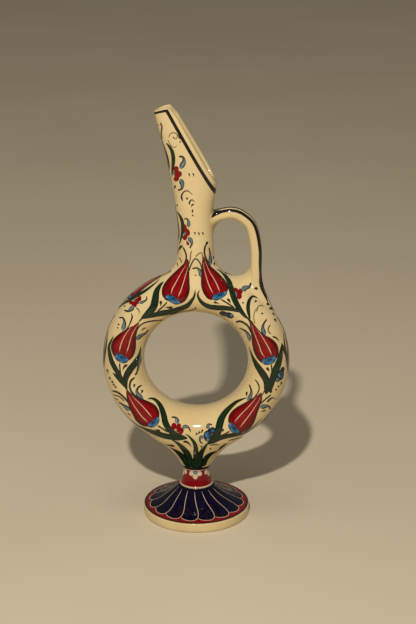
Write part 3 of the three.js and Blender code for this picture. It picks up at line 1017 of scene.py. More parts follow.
def lay_colour(colour, marks):
    """One mesh of closed ribbons: each row is a ring of top points and bottom points."""
    all_p, all_n, all_uv, all_q = [], [], [], []
    start = 0
    for p, n in marks:
        rows, cols = p.shape[:2]
        row, mid = rows // 2, cols // 2
        facing = np.cross(p[row + 1, mid] - p[row, mid], p[row, -1] - p[row, 0])
        if (facing * n[row, mid]).sum() > 0:
            p, n = p[:, ::-1], n[:, ::-1]
        t = np.linspace(-1, 1, cols)
        lift = PAINT_BASE + PAINT_LAYER * LAYER[colour] + PAINT_CROWN * (1 - t ** 2)
        ring = np.concatenate([p + n * lift[None, :, None], (p - n * PAINT_DEPTH)[:, ::-1]], 1)
        run = np.concatenate([[0.0], np.cumsum(np.linalg.norm(np.diff(p[:, mid], axis=0), axis=1))])
        wide = np.concatenate([t, t[::-1]]) * 0.5 + 0.5
        streak = run * STREAK_SCALE + start * STREAK_SHIFT
        uv = np.stack([streak[:, None] + 0 * wide, wide + 0 * run[:, None]], -1)
        k = np.arange(cols - 1)
        cap = np.stack([k, k + 1, 2 * cols - 2 - k, 2 * cols - 1 - k], -1)
        last = (rows - 1) * 2 * cols
        quads = np.vstack([grid_faces(rows, 2 * cols), cap[:, ::-1], cap + last])
        all_q.append(quads + start)
        all_p.append(ring.reshape(-1, 3))
        all_n.append(np.concatenate([n, n[:, ::-1]], 1).reshape(-1, 3))
        all_uv.append(uv.reshape(-1, 2))
        start += rows * 2 * cols
    put_piece("paint_" + PAINT[colour].name, np.vstack(all_p), np.vstack(all_q), None, PAINT[colour],
              (), np.vstack(all_n), np.vstack(all_uv))


CHARTS = {"front": seen, "back": seen_behind, "handle": on_handle, "rim": on_rim, "neck": on_neck,
          "foot": on_foot, "collar": on_collar}


def lay_paint():
    """Puts all strokes on the clay: top points lifted a little, bottom points just inside, by colour."""
    sheets = {}
    for name, marks in STROKES.items():
        chart = CHARTS[name]
        flat = np.vstack([grid.reshape(-1, 2) for _, grid in marks])
        points, normals = chart(flat)
        if name in ("front", "back"):
            points, normals = unstretched(chart, marks, flat, points, normals)
        at = 0
        for colour, grid in marks:
            rows, cols = grid.shape[:2]
            p = points[at:at + rows * cols].reshape(rows, cols, 3)
            n = normals[at:at + rows * cols].reshape(rows, cols, 3)
            at += rows * cols
            sheets.setdefault(colour, []).append((p, n))
    for colour, marks in sheets.items():
        lay_colour(colour, marks)


# The six tulips of a side, as photo pixels: left edge, right edge, cream lines, calyx top and calyx bottom
TULIP_TOP_LEFT = (
    [(166.2, 300.4), (162.8, 295.4), (162.4, 290.1), (164.1, 285), (168.7, 278.9), (174.8, 272.8),
     (180.6, 267.3), (184.6, 263.2), (187.2, 259.2)],
    [(180.2, 303.6), (184.5, 300.8), (187.8, 295.7), (189.3, 289.1), (189, 281.9), (188.8, 274.8),
     (188.6, 268.4), (188.4, 263), (188, 259.2)],
    [[(171, 294.2), (172.5, 288.6), (174.8, 284.6), (177.3, 279.9), (180.4, 274.3), (184, 268.2),
      (185.6, 265.4)],
     [(177.9, 297.2), (180.4, 291.6), (183, 284), (185, 277.3), (187, 270.7), (188.8, 264.6)]],
    ([(165.6, 296.2), (168.8, 294.2), (171, 296), (173.4, 295.2), (175.8, 298.4), (178, 299.4),
      (179.9, 302.4)],
     [(165.6, 297.4), (167, 299.6), (169.8, 301.4), (173, 303.2), (176.6, 304.2), (179.9, 303.4)]))
TULIP_TOP_RIGHT = (
    [(211.6, 300), (208, 298.3), (204.4, 293.7), (202.1, 288.1), (201.4, 281.9), (201.8, 274.8),
     (202.4, 267), (202.6, 261), (203.2, 256.6)],
    [(226.8, 292), (227.9, 287.8), (225.8, 282.4), (221.2, 276.8), (215.6, 271.2), (211.2, 267.4),
     (207.4, 263), (205, 259.6), (203.8, 256.4)],
    [[(213.1, 293.2), (210, 287.6), (207.4, 280.9), (205.4, 273.8), (203.9, 267.7), (203.4, 262.6)],
     [(219.7, 291.6), (217.1, 285), (213.6, 278.4), (209.5, 271.7), (206.9, 266.1), (204.9, 260.8)]],
    ([(212.6, 297.6), (214.2, 294.2), (216.6, 294.6), (219, 292.2), (222, 292.9), (224.6, 290.9),
      (227, 291.8)],
     [(212.6, 298.6), (214.6, 300.2), (218.7, 299.5), (223, 297), (225.8, 294.6), (227.2, 292.4)]))
TULIP_MID_LEFT = (
    [(115.2, 357.6), (112.9, 353), (111.5, 348), (111.9, 344.2), (114, 339.4), (119, 334.6),
     (125.4, 330.2), (132.4, 326.4)],
    [(129.4, 360.2), (133.2, 355), (135.1, 349), (135.5, 343), (135.5, 337), (136.5, 331),
     (137.6, 326.6), (139, 321.6)],
    [[(119.4, 351.4), (120.5, 346), (122.6, 340), (125.4, 334.6), (129.9, 328.4), (132.8, 325.6)],
     [(126.4, 353), (128.6, 346.5), (130.2, 340), (132.4, 333.7), (135.6, 328), (138.8, 323)]],
    ([(114.9, 355.6), (117.2, 352.9), (119.6, 354.4), (122, 353.5), (124.4, 356.2), (126.4, 356.7),
      (128.2, 359.2)],
     [(115, 357), (116.6, 359.6), (119.4, 361.6), (123.4, 363), (126.6, 362), (128.4, 360.6)]))
TULIP_MID_RIGHT = (
    [(261.7, 362.7), (257.7, 358.1), (254.5, 351.8), (252.8, 344.9), (252, 337.5), (251.1, 330),
     (250.4, 324), (249.8, 320)],
    [(275.7, 359.2), (277.8, 355), (278, 349.5), (276, 343.8), (270.9, 338.8), (264.4, 335.4),
     (258.6, 330.4), (253.6, 324.6), (250.6, 320.4)],
    [[(264.6, 357), (261.2, 351.8), (258.9, 344.9), (256, 337.5), (253.4, 330.4), (251.6, 324.8)],
     [(271.5, 355.3), (270.2, 351.2), (266.9, 344.9), (262.9, 338), (258.3, 331.1), (254.4, 326)]],
    ([(262.2, 361.2), (263.6, 357.8), (266.4, 358.4), (268.6, 356.2), (271.4, 357), (273.6, 355.4),
      (275.8, 356.6)],
     [(262.4, 362.4), (265.6, 364.6), (270.6, 364), (274.2, 361.8), (275.8, 358.2)]))
TULIP_LOW_LEFT = (
    [(159, 418.4), (158.5, 411.6), (155.2, 405.9), (149.4, 402.3), (143.7, 400), (138, 398.2),
     (132.6, 395.2), (128.6, 391.6), (126.9, 388.6)],
    [(147.9, 426.6), (142, 424.9), (136.8, 420.8), (133.9, 415.7), (131.1, 410.5), (128.6, 404),
     (127.2, 398), (126.7, 392.4), (126.5, 388.6)],
    [[(151.7, 416.8), (147.1, 411.4), (141.4, 405.1), (136.2, 400), (131.4, 395)],
     [(147.7, 422), (142, 416.6), (136.8, 409.7), (132.2, 402.3), (128.6, 395.4)]],
    ([(158.6, 417), (156, 417), (155.4, 419), (152.6, 419.4), (152, 421.8), (149.2, 422.6), (148, 425)],
     [(159.4, 418.6), (158.6, 422), (156.6, 424.8), (153, 427), (149.6, 426.8), (148, 426)]))
TULIP_LOW_RIGHT = (
    [(228.5, 422.4), (228.7, 418.4), (230.5, 413.8), (235.2, 408.9), (241.9, 404.8), (247.9, 401.5),
     (253.3, 398.1), (257.4, 396), (260.8, 392.6)],
    [(239.2, 433), (245.9, 431.2), (251.1, 426.4), (254.6, 419.8), (256.8, 413.1), (259.4, 406.2),
     (261.4, 400), (261.6, 396), (261.2, 392.4)],
    [[(234.5, 421.8), (240.5, 414.9), (247.2, 408.2), (253.1, 401.5), (257.2, 396.2)],
     [(239.9, 427.1), (245.9, 419.6), (251.9, 411.5), (257.1, 403.5), (260.4, 397.4)]],
    ([(229.2, 422.6), (231.6, 422.4), (232.6, 424.6), (235.2, 425), (236, 427.8), (238.4, 428.6),
      (239.2, 431.6)],
     [(228.6, 423.8), (228.8, 427), (230.8, 430.6), (233.8, 433), (237, 433.6), (239, 432.8)]))
TULIPS = (TULIP_TOP_LEFT, TULIP_TOP_RIGHT, TULIP_MID_LEFT, TULIP_MID_RIGHT, TULIP_LOW_LEFT,
          TULIP_LOW_RIGHT)

# Long dark green leaves of a side: kind, widest width and middle line in photo pixels
LEAVES = (
    ("leaf", 7.6, [(140.6, 319.3), (148.1, 313.1), (153.3, 307.2), (155.2, 300.1), (156.4, 292.5),
                   (159.5, 286), (163.6, 281.4)]),
    ("leaf", 6.0, [(142.1, 318.8), (151, 315.9), (160.6, 313.4), (170.2, 312.1), (179.7, 309.2),
                   (187.4, 305.4), (191.8, 300.3), (194.4, 295.8), (195.2, 290)]),
    ("leaf", 5.8, [(250.2, 319.4), (245.4, 316.4), (239.6, 309), (234.6, 299.6), (231.8, 291),
                   (230.2, 284.6), (228, 280), (224.4, 275.2), (220.4, 271.2), (216.4, 268.9)]),
    ("leaf", 5.2, [(244, 313), (234, 309.6), (226.3, 308.2), (216.1, 307.6), (208.5, 306.4),
                   (202.3, 302.9), (198.5, 297.8), (197.9, 293.7), (199.6, 290)]),
    ("leaf", 3.8, [(250.2, 319.8), (248.5, 312), (248.1, 305.5), (249.7, 299.6), (252.9, 296.3),
                   (257.6, 298.1)]),
    ("leaf", 4.8, [(127.6, 390.4), (125.4, 386.1), (121.6, 379), (116.7, 370.9), (111.8, 361.7),
                   (109.1, 351), (109.4, 344.6), (113.8, 335.6)]),
    ("leaf", 3.2, [(112.8, 372.6), (117.6, 377.7), (123.2, 384.7), (126, 388.6)]),
    ("leaf", 6.6, [(127, 390.4), (125.4, 383.4), (126.1, 376.9), (129.9, 369.8), (135.1, 363.1),
                   (139.3, 355.2), (141, 346.4)]),
    ("fan", 7.0, [(265.8, 394), (267.4, 386.3), (266, 379.4), (261.4, 371.9), (256, 363.9),
                  (252, 355.8), (249, 346.6)]),
    ("leaf", 7.0, [(270.5, 393), (270.9, 387.4), (272.3, 380.5), (274.6, 372.5), (278, 364.4),
                   (280.7, 354.6), (281.4, 345)]),
    ("blunt", 3.6, [(270.5, 393.2), (270.8, 388), (272, 382)]),
    ("leaf", 6.2, [(187.4, 437.9), (177, 434.8), (169.5, 429.6), (165.5, 422.8), (163.6, 414.7),
                   (160.6, 406.1), (156.1, 400.4), (151.7, 398.4), (147, 399)]),
    ("fan", 6.0, [(187.4, 438.1), (172.4, 437.1), (163.8, 435.9), (155.2, 433.1), (148.3, 430.6),
                  (139.6, 426.5), (133.4, 422.2), (124.6, 414.8)]),
    ("fan", 7.2, [(208, 443.8), (214.4, 437.7), (217.8, 432.1), (219.8, 424), (221.9, 417.8),
                  (225.9, 411.7), (232.5, 405), (238.1, 401), (246.9, 397.6)]),
    ("fan", 4.6, [(208, 444.2), (217.1, 439.4), (225.1, 436.7), (235.2, 434.9), (243.2, 433.9),
                  (249.8, 430.1), (256.2, 424.3), (261.6, 418.4)]),
    ("fan", 6.6, [(190.3, 467.2), (186.1, 462.8), (182.6, 457.7), (178.5, 453.1), (174.4, 450),
                  (169.6, 447.3)]),
    ("fan", 6.4, [(192.3, 467.2), (190.2, 460.7), (187.7, 454.6), (183.6, 449), (179, 444.4),
                  (175.4, 441.8), (172, 440.2)]),
    ("fan", 5.2, [(195.5, 467.4), (195.8, 455.6), (195.8, 448), (194.3, 442.9), (191.7, 439.3),
                  (188.2, 435.7), (185.1, 434.2)]),
    ("fan", 5.8, [(199.3, 467), (199.9, 458.2), (200.9, 453.6), (203.5, 449), (206.5, 444.9),
                  (209.1, 441.8)]),
    ("fan", 5.2, [(203.2, 466.4), (204.5, 461.7), (206.5, 457.7), (210.1, 454.6), (213.7, 452.6),
                  (217.8, 450.8)]),
    ("line", 4.6, [(190.8, 465.2), (196, 466), (203, 465)]),
)

# Small strokes of a side: colour, kind, width and middle line in photo pixels; lines and commas are heavier
TENDRIL_WEIGHT = {"line": 1.2, "comma": 1.2}
TENDRILS = (
    ("dark", "line", 1.3, [(184.2, 264.4), (186, 259.5), (186.3, 255.4), (185, 251.3), (183, 247)]),
    ("dark", "comma", 2.4, [(182.6, 245.4), (180.4, 247.2), (178.6, 250.8), (177.9, 254.2)]),
    ("olive", "line", 0.9, [(188.8, 264.6), (190.1, 259.5), (190.6, 255.4), (191.4, 250.4)]),
    ("dark", "line", 1.1, [(188.6, 272), (189.4, 269.7), (191.1, 264.6), (193.7, 260), (195.3, 258.7),
                           (197.8, 260), (200.3, 263.6), (201.6, 267.7), (201.8, 273)]),
    ("olive", "line", 0.8, [(195.4, 257.4), (197.6, 254.6), (200.4, 252.8), (202, 253.6), (203, 259.5)]),
    ("dark", "line", 1.4, [(208.6, 263.8), (205.9, 258), (204.4, 252.9), (204.9, 247.2), (206.8, 243.4)]),
    ("dark", "dot", 2.4, [(206, 244.6), (206.9, 243), (207.8, 241.6)]),
    ("dark", "comma", 1.7, [(213.6, 256), (213.2, 257.6), (213, 259.4)]),
    ("dark", "comma", 1.7, [(214.6, 262.4), (214.2, 264), (214, 265.8)]),
    ("olive", "line", 0.8, [(178.9, 257.4), (180.9, 260), (181.7, 263.1)]),
    ("olive", "tail", 1.4, [(177.2, 263), (177.8, 265), (178, 266.8)]),
    ("dark", "line", 1.2, [(167.3, 301.9), (162.2, 307.2), (157.3, 311)]),
    ("dark", "comma", 2.2, [(172.8, 307.3), (169, 307.6), (164.6, 306.9)]),
    ("dark", "comma", 2.4, [(160.4, 300.6), (160.9, 303), (160.5, 306.6)]),
    ("dark", "line", 1.2, [(220.8, 299.2), (227, 303), (234.4, 307.6)]),
    ("dark", "comma", 2.2, [(227.2, 298.6), (229.4, 301), (230.8, 304)]),
    ("dark", "comma", 1.8, [(213.6, 302), (216, 302.6), (219.4, 303.6)]),
    ("dark", "dot", 1.8, [(195.5, 307.2), (195.5, 308.2), (195.5, 309.2)]),
    ("olive", "line", 0.8, [(194.6, 275), (196.6, 275.6)]),
    ("dark", "line", 1.2, [(139, 321.6), (141, 319.4), (143.6, 317.6)]),
    ("dark", "line", 1.1, [(135.6, 337), (136.8, 330.5), (140, 325.6), (145.2, 322.5), (153.5, 320.7),
                           (161, 320.2)]),
    ("dark", "dot", 2.0, [(160, 320.4), (161.2, 320.2), (162.4, 320)]),
    ("dark", "tail", 1.7, [(131.1, 313.2), (132.2, 316), (131.4, 320), (128.2, 327), (124, 331.4),
                           (118.9, 334.9)]),
    ("olive", "leaf", 1.4, [(141.2, 330.4), (143.6, 328.6), (146.4, 327.6)]),
    ("dark", "line", 1.2, [(119.6, 363), (120.1, 370.4), (121.2, 376.6)]),
    ("dark", "comma", 2.2, [(127.6, 364.7), (124.3, 366.6), (122.4, 371)]),
    ("dark", "line", 1.7, [(253, 335), (250.3, 330), (247.1, 325.1), (240.7, 321.3), (235.8, 322)]),
    ("dark", "dot", 1.8, [(235.6, 321.6), (236.8, 321.8), (238, 322)]),
    ("dark", "line", 1.0, [(250.6, 324), (249.2, 320.8), (247.4, 318.2)]),
    ("dark", "line", 1.1, [(253.6, 324.2), (251.4, 321.4), (249.4, 319.4)]),
    ("olive", "line", 1.0, [(270.4, 324.7), (268.4, 328), (268.4, 331.4), (271, 334)]),
    ("dark", "tail", 2.0, [(272.4, 336.4), (276.4, 338.1), (279.1, 341.4)]),
    ("olive", "line", 1.2, [(170, 314.8), (179.7, 312.4), (189.3, 310.6), (195.3, 308.9)]),
    ("dark", "comma", 1.8, [(281.4, 381.6), (281.2, 383.4), (280.6, 385.2)]),
    ("olive", "comma", 1.6, [(266, 410), (263, 411), (260, 411.6)]),
    ("olive", "line", 0.7, [(255.2, 324), (253.8, 318.5), (254.3, 312.4), (256.7, 308.4)]),
    ("olive", "line", 0.8, [(256.7, 312), (257.8, 307.2), (261.1, 305), (263.4, 306.8)]),
    ("dark", "line", 1.2, [(271.3, 364.2), (271.8, 371.3), (271, 378.8)]),
    ("dark", "comma", 2.4, [(266.6, 367.4), (268, 369.4), (269.6, 372)]),
    ("dark", "line", 1.5, [(111.8, 390.8), (117.8, 392.4), (124.3, 397.6), (128.6, 403.2)]),
    ("dark", "line", 0.9, [(112.9, 394.6), (119.4, 396.6), (124.6, 401.2)]),
    ("dark", "line", 0.8, [(112.1, 397.3), (118.9, 400.2)]),
    ("dark", "dot", 1.8, [(115.2, 402.8), (115.9, 403.2), (116.6, 403.6)]),
    ("red", "comma", 1.4, [(127.4, 412.9), (129.2, 414.2), (131.5, 416)]),
    ("dark", "line", 1.2, [(157.5, 425.4), (163.2, 429.1), (168, 432.1)]),
    ("dark", "comma", 1.8, [(160.4, 430.8), (157.6, 430.2), (154.8, 429.2)]),
    ("dark", "line", 1.1, [(229.8, 431.2), (225.1, 433.8), (219.6, 436.2)]),
    ("dark", "comma", 2.2, [(223.4, 428.8), (222.4, 430.6), (220.6, 432)]),
    ("dark", "line", 1.1, [(254, 397.6), (257.4, 393.4), (259.2, 388.4), (258, 383.4), (254.9, 379.4)]),
    ("dark", "line", 0.9, [(260.6, 397.4), (263, 393.4), (265.4, 389.5)]),
    ("dark", "line", 1.1, [(260.6, 404), (264, 400.4), (270.9, 394.7)]),
    ("dark", "comma", 1.6, [(266.8, 402.4), (269.4, 399.6), (272.8, 397.7), (276.9, 399.7)]),
    ("dark", "comma", 1.8, [(246.9, 391.6), (246.6, 394), (246.9, 396.8)]),
    ("dark", "comma", 2.0, [(255.9, 300.2), (255.6, 301.4), (254.4, 302.6)]),
    ("dark", "dot", 2.0, [(135.2, 373.4), (135.7, 374.2), (136.2, 375)]),
    ("dark", "tail", 1.3, [(136.2, 307.7), (138.4, 309.5), (139.3, 312), (138.6, 314.6)]),
    ("dark", "dot", 1.8, [(118.4, 323.6), (118.6, 324.5), (118.6, 325.4)]),
    ("red", "dot", 1.8, [(117.8, 327), (117.8, 327.8), (117.8, 328.6)]),
    ("dark", "comma", 1.8, [(106.7, 369), (107.8, 371), (108.2, 374)]),
    ("dark", "comma", 2.0, [(109.2, 376.8), (110.2, 378.8), (111.2, 380)]),
    ("dark", "comma", 2.0, [(111.8, 380.8), (112.6, 382.4), (113.6, 383.4)]),
    ("dark", "comma", 1.8, [(113.3, 383.8), (114.2, 385.2), (115, 386)]),
    ("dark", "comma", 1.6, [(115.2, 386.2), (116, 387.4), (116.8, 388.2)]),
    ("dark", "line", 1.7, [(135.1, 377.2), (130.8, 381), (129.7, 387.2), (131.9, 392.2), (136.2, 396.6),
                           (143, 399.8)]),
    ("dark", "comma", 1.9, [(134.4, 383.8), (134.2, 386), (133.6, 388)]),
    ("dark", "comma", 1.8, [(142.4, 389.6), (142, 391.6), (141, 394)]),
    ("dark", "comma", 2.4, [(256.8, 289.8), (256, 288), (253.8, 289)]),
    ("dark", "dot", 2.0, [(262.2, 312.6), (262.2, 313.5), (262.2, 314.4)]),
    ("dark", "dot", 1.8, [(242.9, 302), (242.9, 302.8), (242.9, 303.6)]),
    ("dark", "dot", 1.8, [(278.4, 385.4), (278.4, 386.3), (278.4, 387.2)]),
    ("dark", "dot", 1.8, [(276.1, 388.8), (276.1, 389.7), (276.1, 390.6)]),
    ("dark", "dot", 1.7, [(201.3, 445.8), (201.3, 446.6), (201.3, 447.4)]),
    ("dark", "dot", 1.7, [(210.5, 447.8), (210.5, 448.6), (210.5, 449.4)]),
    ("dark", "dot", 1.8, [(124.5, 305.3), (124.5, 306.1), (124.5, 306.9)]),
    ("dark", "comma", 2.3, [(267, 302.8), (268, 304.4), (269.8, 305.4)]),
    ("dark", "comma", 2.3, [(269.7, 307.2), (270.9, 309), (272.4, 310.2)]),
    ("dark", "comma", 2.3, [(272.6, 312.6), (273.6, 314.4), (274.8, 315.8)]),
    ("dark", "comma", 2.3, [(274.6, 318.4), (275.4, 320.4), (276.4, 322)]),
    ("dark", "leaf", 3.2, [(281.4, 343), (284.6, 351.6), (287, 360)]),
    ("dark", "comma", 2.0, [(174.9, 446), (169, 445.2), (161, 444.5)]),
    ("dark", "comma", 2.0, [(183, 441.6), (186.6, 441.8), (189.7, 444.4), (191.2, 446.9)]),
    ("dark", "comma", 1.6, [(202.7, 429.4), (202, 431.4), (200.6, 433)]),
    ("dark", "comma", 1.6, [(199.9, 431.2), (199, 433), (197.8, 434.4)]),
    ("dark", "comma", 1.6, [(197.1, 432.6), (196.4, 434.2), (195.2, 435.4)]),
    ("olive", "leaf", 1.3, [(209.7, 445.4), (215.1, 444.6), (220, 444.8)]),
    ("dark", "leaf", 2.5, [(217.8, 450.8), (221.3, 447.4), (225.4, 444.4), (228, 442.9)]),
    ("dark", "leaf", 1.8, [(228.3, 440.6), (235.2, 438.7), (243.4, 436.9)]),
)

# Leaflets of a side: width, middle line from the root to the hooked tip, and which side is outlined heavier
LEAFLETS = (
    (2.9, [(210.2, 265.4), (210.2, 259), (209.9, 253), (208.9, 247.4)], 1),
    (3.2, [(200.9, 277.4), (199.9, 271.4), (196.7, 268), (192.3, 268.9)], 1),
    (3.3, [(135.9, 340), (140, 336), (145.2, 333.2), (148.2, 329.6)], 1),
    (3.0, [(250, 341.4), (248.6, 335.6), (245.2, 331), (239.6, 328)], 1),
    (3.3, [(265.6, 335), (262.7, 329.6), (263.4, 324), (266.6, 319.2)], 1),
    (3.2, [(130, 410.7), (124.2, 405.8), (119, 402.2)], 1),
    (3.5, [(260, 407.4), (264.4, 406.2), (268.6, 406), (270.8, 409.4)], 1),
    (3.0, [(247.2, 400.4), (250.3, 396.6), (251.5, 391.2), (249.4, 384.4)], -1),
    (3.2, [(140.8, 355), (139.3, 362), (137.9, 369), (136.2, 374.6)], 1),
    (3.4, [(122.2, 330.6), (124.4, 323.6), (123, 318), (119.2, 317.8)], 1),
    (3.5, [(143.6, 399.3), (139.5, 396.4), (136.7, 392), (137.8, 387.7), (141.7, 385)], 1),
    (3.6, [(133.4, 305.8), (131.2, 309), (128.2, 311), (124.2, 310.2)], -1),
    (2.4, [(139, 303.2), (143.2, 302), (146.8, 299.4), (146.6, 296.2)], -1),
    (4.2, [(241.6, 290.6), (245, 288), (249.2, 286.6), (250.9, 282.6)], 1),
    (3.2, [(176.9, 423.8), (177, 420), (175.2, 417.6), (171.4, 417.2)], 1),
    (2.8, [(182.2, 428.2), (185.3, 426.5), (188.3, 427.4), (190.7, 431.5)], -1),
    (3.0, [(208.8, 429), (208, 426.4), (209, 424.4), (212.2, 424.7)], -1),
    (2.6, [(204.4, 436.6), (200.6, 437.6), (199.9, 440.8), (202.4, 443.6)], 1),
)

# Small blossoms of a side: dabs as colour, width and the two ends in photo pixels; some red blossoms carry
# a light dab as a painted highlight
BLOSSOMS = (
    ("red", 5.0, (132.6, 302.8), (136.2, 306.8)), ("red", 4.2, (135.6, 300.8), (138.4, 303.8)),
    ("red", 4.0, (140.4, 296), (138.4, 301.6)), ("red", 3.8, (129.6, 300.6), (132.4, 304.4)),
    ("red", 4.6, (131.4, 303.2), (137.4, 303.4)), ("red", 4.2, (134.8, 301.6), (139.6, 298.8)),
    ("grey", 2.0, (133.6, 299.2), (134.6, 301.6)),
    ("red", 4.8, (240, 288.6), (240.4, 294.4)), ("red", 5.2, (240, 293), (238.6, 299.4)),
    ("red", 3.8, (234, 288), (237.6, 291.6)), ("red", 5.0, (237.6, 290.6), (240.2, 295)),
    # Painted highlight: the grey-blue dab on this red blossom
    ("grey", 1.8, (235.6, 291.8), (236.6, 295.4)),
    ("red", 5.4, (174.4, 422.6), (173.4, 430)), ("red", 4.4, (178.6, 423.2), (179.2, 428.6)),
    ("red", 5.4, (175.2, 427.2), (180.8, 431.2)), ("red", 5.2, (182.4, 427.4), (179.6, 434.6)),
    # Painted highlight: the cream dab on this red blossom
    ("cream", 1.3, (175.4, 428.8), (176.4, 430.2)),
    ("ink", 8.2, (207.4, 430.4), (207.8, 441.6)), ("ink", 7.0, (212.4, 427), (212.8, 434.4)),
    ("ink", 6.0, (207.6, 433), (213, 429.6)), ("blue", 5.6, (207.5, 432), (207.9, 438)),
    ("blue", 3.8, (212.4, 428.8), (212.8, 432)), ("grey", 3.6, (207.6, 438), (208.4, 441)),
    ("pale", 1.8, (205.6, 433), (207, 437.4)), ("deep", 2.4, (209.2, 432.2), (209.8, 435.6)),
    ("ink", 7.6, (282, 369.6), (279, 380.4)), ("ink", 4.4, (283.2, 366.8), (282.2, 372)),
    ("blue", 4.6, (281.5, 372.2), (279.6, 377.6)), ("pale", 1.7, (278.3, 373.2), (279.6, 377.6)),
    ("deep", 2.4, (280.9, 372.8), (281, 375.8)), ("ink", 5.2, (278.6, 376.4), (276.4, 382)),
    ("grey", 3.2, (277.8, 378), (276.8, 381.2)),
    ("ink", 5.4, (219.2, 312.6), (227.6, 315)), ("ink", 5.6, (225, 313.6), (233.8, 317)),
    ("deep", 3.4, (224.8, 314), (229.2, 315.6)), ("grey", 2.8, (230.6, 314.2), (232.4, 316.6)),
)


def paint_side(chart):
    """The painted side of the ring: tulips, leaves, tendrils and blossoms."""
    for kind, width, line in LEAVES:
        stroke(chart, "green", kind, width, line)
    for flower in TULIPS:
        tulip(chart, *flower)
    for colour, kind, width, line in TENDRILS:
        stroke(chart, colour, kind, width * TENDRIL_WEIGHT.get(kind, 1.0), line)
    for width, line, heavy in LEAFLETS:
        leaflet(chart, width, line, heavy)
    for colour, width, first, last in BLOSSOMS:
        dab(chart, colour, width, first, last)


# The neck as seen in the photograph: colour, kind, width and middle line in photo pixels
NECK_STROKES = (
    ("green", "leaf", 3.9, [(166.1, 142.8), (169.9, 147.3), (172.4, 152.4), (173.4, 158.8),
                            (173.1, 165.2), (172.4, 171.6), (172.1, 177.3)]),
    ("olive", "line", 1.6, [(160.3, 122.4), (161.9, 126.9), (161.3, 133.3), (162.2, 139.7)]),
    ("olive", "dot", 1.5, [(158.1, 124.2), (158.1, 125), (158.1, 125.8)]),
    ("olive", "comma", 1.5, [(179.8, 140.8), (180.2, 141.9), (179.6, 143.4)]),
    ("olive", "dot", 1.5, [(173.6, 136.6), (173.6, 137.4), (173.6, 138.2)]),
    ("olive", "line", 0.9, [(168.7, 137.8), (170.2, 134), (173.3, 132.6), (176.6, 134), (177.3, 136.9),
                            (175, 138.9), (172.9, 137.3)]),
    ("olive", "line", 0.6, [(167.6, 139.8), (171, 145.5), (174.4, 147.5), (176.9, 145.3)]),
    ("dark", "leaf", 3.0, [(178.4, 131.5), (179.6, 135.5), (181.2, 139.2)]),
    ("dark", "comma", 2.0, [(175.4, 185.4), (174.9, 187.2), (174.2, 189.4)]),
    ("dark", "tail", 1.9, [(182.8, 201.2), (181.5, 196.3), (183.8, 191.9), (187.9, 190.9),
                           (192.4, 194.8)]),
    ("dark", "dot", 2.2, [(187.1, 197.4), (187.1, 198.5), (187.1, 199.6)]),
    ("dark", "tail", 1.9, [(189.2, 204.7), (189.9, 201.4), (192.2, 199.7), (194.7, 202.1)]),
    ("dark", "comma", 1.8, [(194, 204.3), (192, 205), (191, 207.4)]),
    ("dark", "comma", 1.8, [(193, 209.4), (192.3, 211.6), (192.5, 213.6)]),
    ("dark", "dot", 1.7, [(192.7, 214.7), (192.7, 215.5), (192.7, 216.3)]),
    ("dark", "dot", 1.8, [(177.1, 204.4), (177.1, 205.3), (177.1, 206.2)]),
    ("green", "leaf", 3.6, [(176.6, 210.8), (180.1, 216.4), (182.4, 222.8), (182.4, 231.7),
                            (180.4, 240.6), (178.8, 245.7)]),
    ("red", "comma", 3.0, [(188.6, 245.4), (187.4, 242.6), (186, 239.8)]),
    ("dark", "comma", 1.5, [(188.4, 173.4), (189.6, 175), (189.2, 177)]),
    ("dark", "comma", 1.5, [(192.6, 173.2), (193.8, 175), (193.4, 177.2)]),
    ("dark", "comma", 1.5, [(194, 231.9), (195.2, 233.4), (194.8, 235.4)]),
    ("dark", "comma", 1.5, [(198, 232.3), (199.2, 233.8), (198.8, 235.8)]),
    ("dark", "comma", 1.5, [(202, 232.3), (203.2, 233.8), (202.8, 235.6)]),
)
NECK_LEAFLETS = (
    (4.2, [(180.2, 168.8), (182.4, 165.2), (184.2, 161), (183, 157), (179, 156.3)], -1),
    (3.8, [(180.3, 178.8), (182.4, 184), (181.9, 188.8), (178, 190.4)], 1),
    (2.8, [(188.4, 227.6), (188.8, 222), (186.6, 218.2), (184.3, 219.6)], -1),
    (3.3, [(188, 237.2), (191.2, 240.6), (191.8, 244.4), (189.7, 248.3)], 1),
)
NECK_DABS = (
    ("dark", 3.4, (179.2, 134.2), (180.8, 139.2)),
    ("red", 5.0, (176.2, 166), (176.4, 172)), ("red", 6.0, (178.4, 170.8), (179.4, 177.2)),
    ("red", 5.2, (177.6, 175.6), (175.2, 181.4)), ("red", 4.4, (175.8, 168.4), (176.6, 178.6)),
    ("grey", 2.4, (173.3, 172), (174.5, 175)),
    ("red", 3.2, (184.5, 224.2), (185.5, 229.8)), ("red", 3.6, (187.8, 229.2), (188.6, 236)),
    ("red", 4.6, (185.8, 235), (184.2, 240.2)), ("red", 3.0, (185.4, 228), (187.4, 231.4)),
    ("red", 3.6, (187.4, 232), (185.6, 237)), ("red", 3.8, (185.4, 226.8), (186.2, 238.6)),
    ("grey", 1.8, (184.8, 231.8), (185.2, 234.8)),
)


# Tulips of the pouring side: height of the foot and length; edge and cream line as shares of width and
# length; calyx in millimetres
BEAK_TULIPS = ((219.0, 28.0), (272.0, 27.0))
BEAK_TULIP_WIDTH = 9.0
BEAK_TULIP_EDGE = ((0.0, 0.0), (0.42, 0.05), (0.6, 0.2), (0.62, 0.42), (0.45, 0.66), (0.2, 0.86),
                   (0.02, 1.0))
BEAK_TULIP_CREAM = ((0.2, 0.16), (0.24, 0.5), (0.06, 0.92))
BEAK_CALYX_TOP = ((-3.6, 2.6), (-1.8, 4.4), (0.0, 3.4), (1.8, 4.4), (3.6, 2.6))
BEAK_CALYX_LOW = ((-3.6, 1.8), (-2.0, -0.6), (0.0, -1.2), (2.0, -0.6), (3.6, 1.8))
BEAK_STALK = ((0.0, -1.0), (0.3, -6.0), (0.0, -11.0))
BEAK_STALK_WIDTH = 0.9
SMALL_TULIP = 0.8


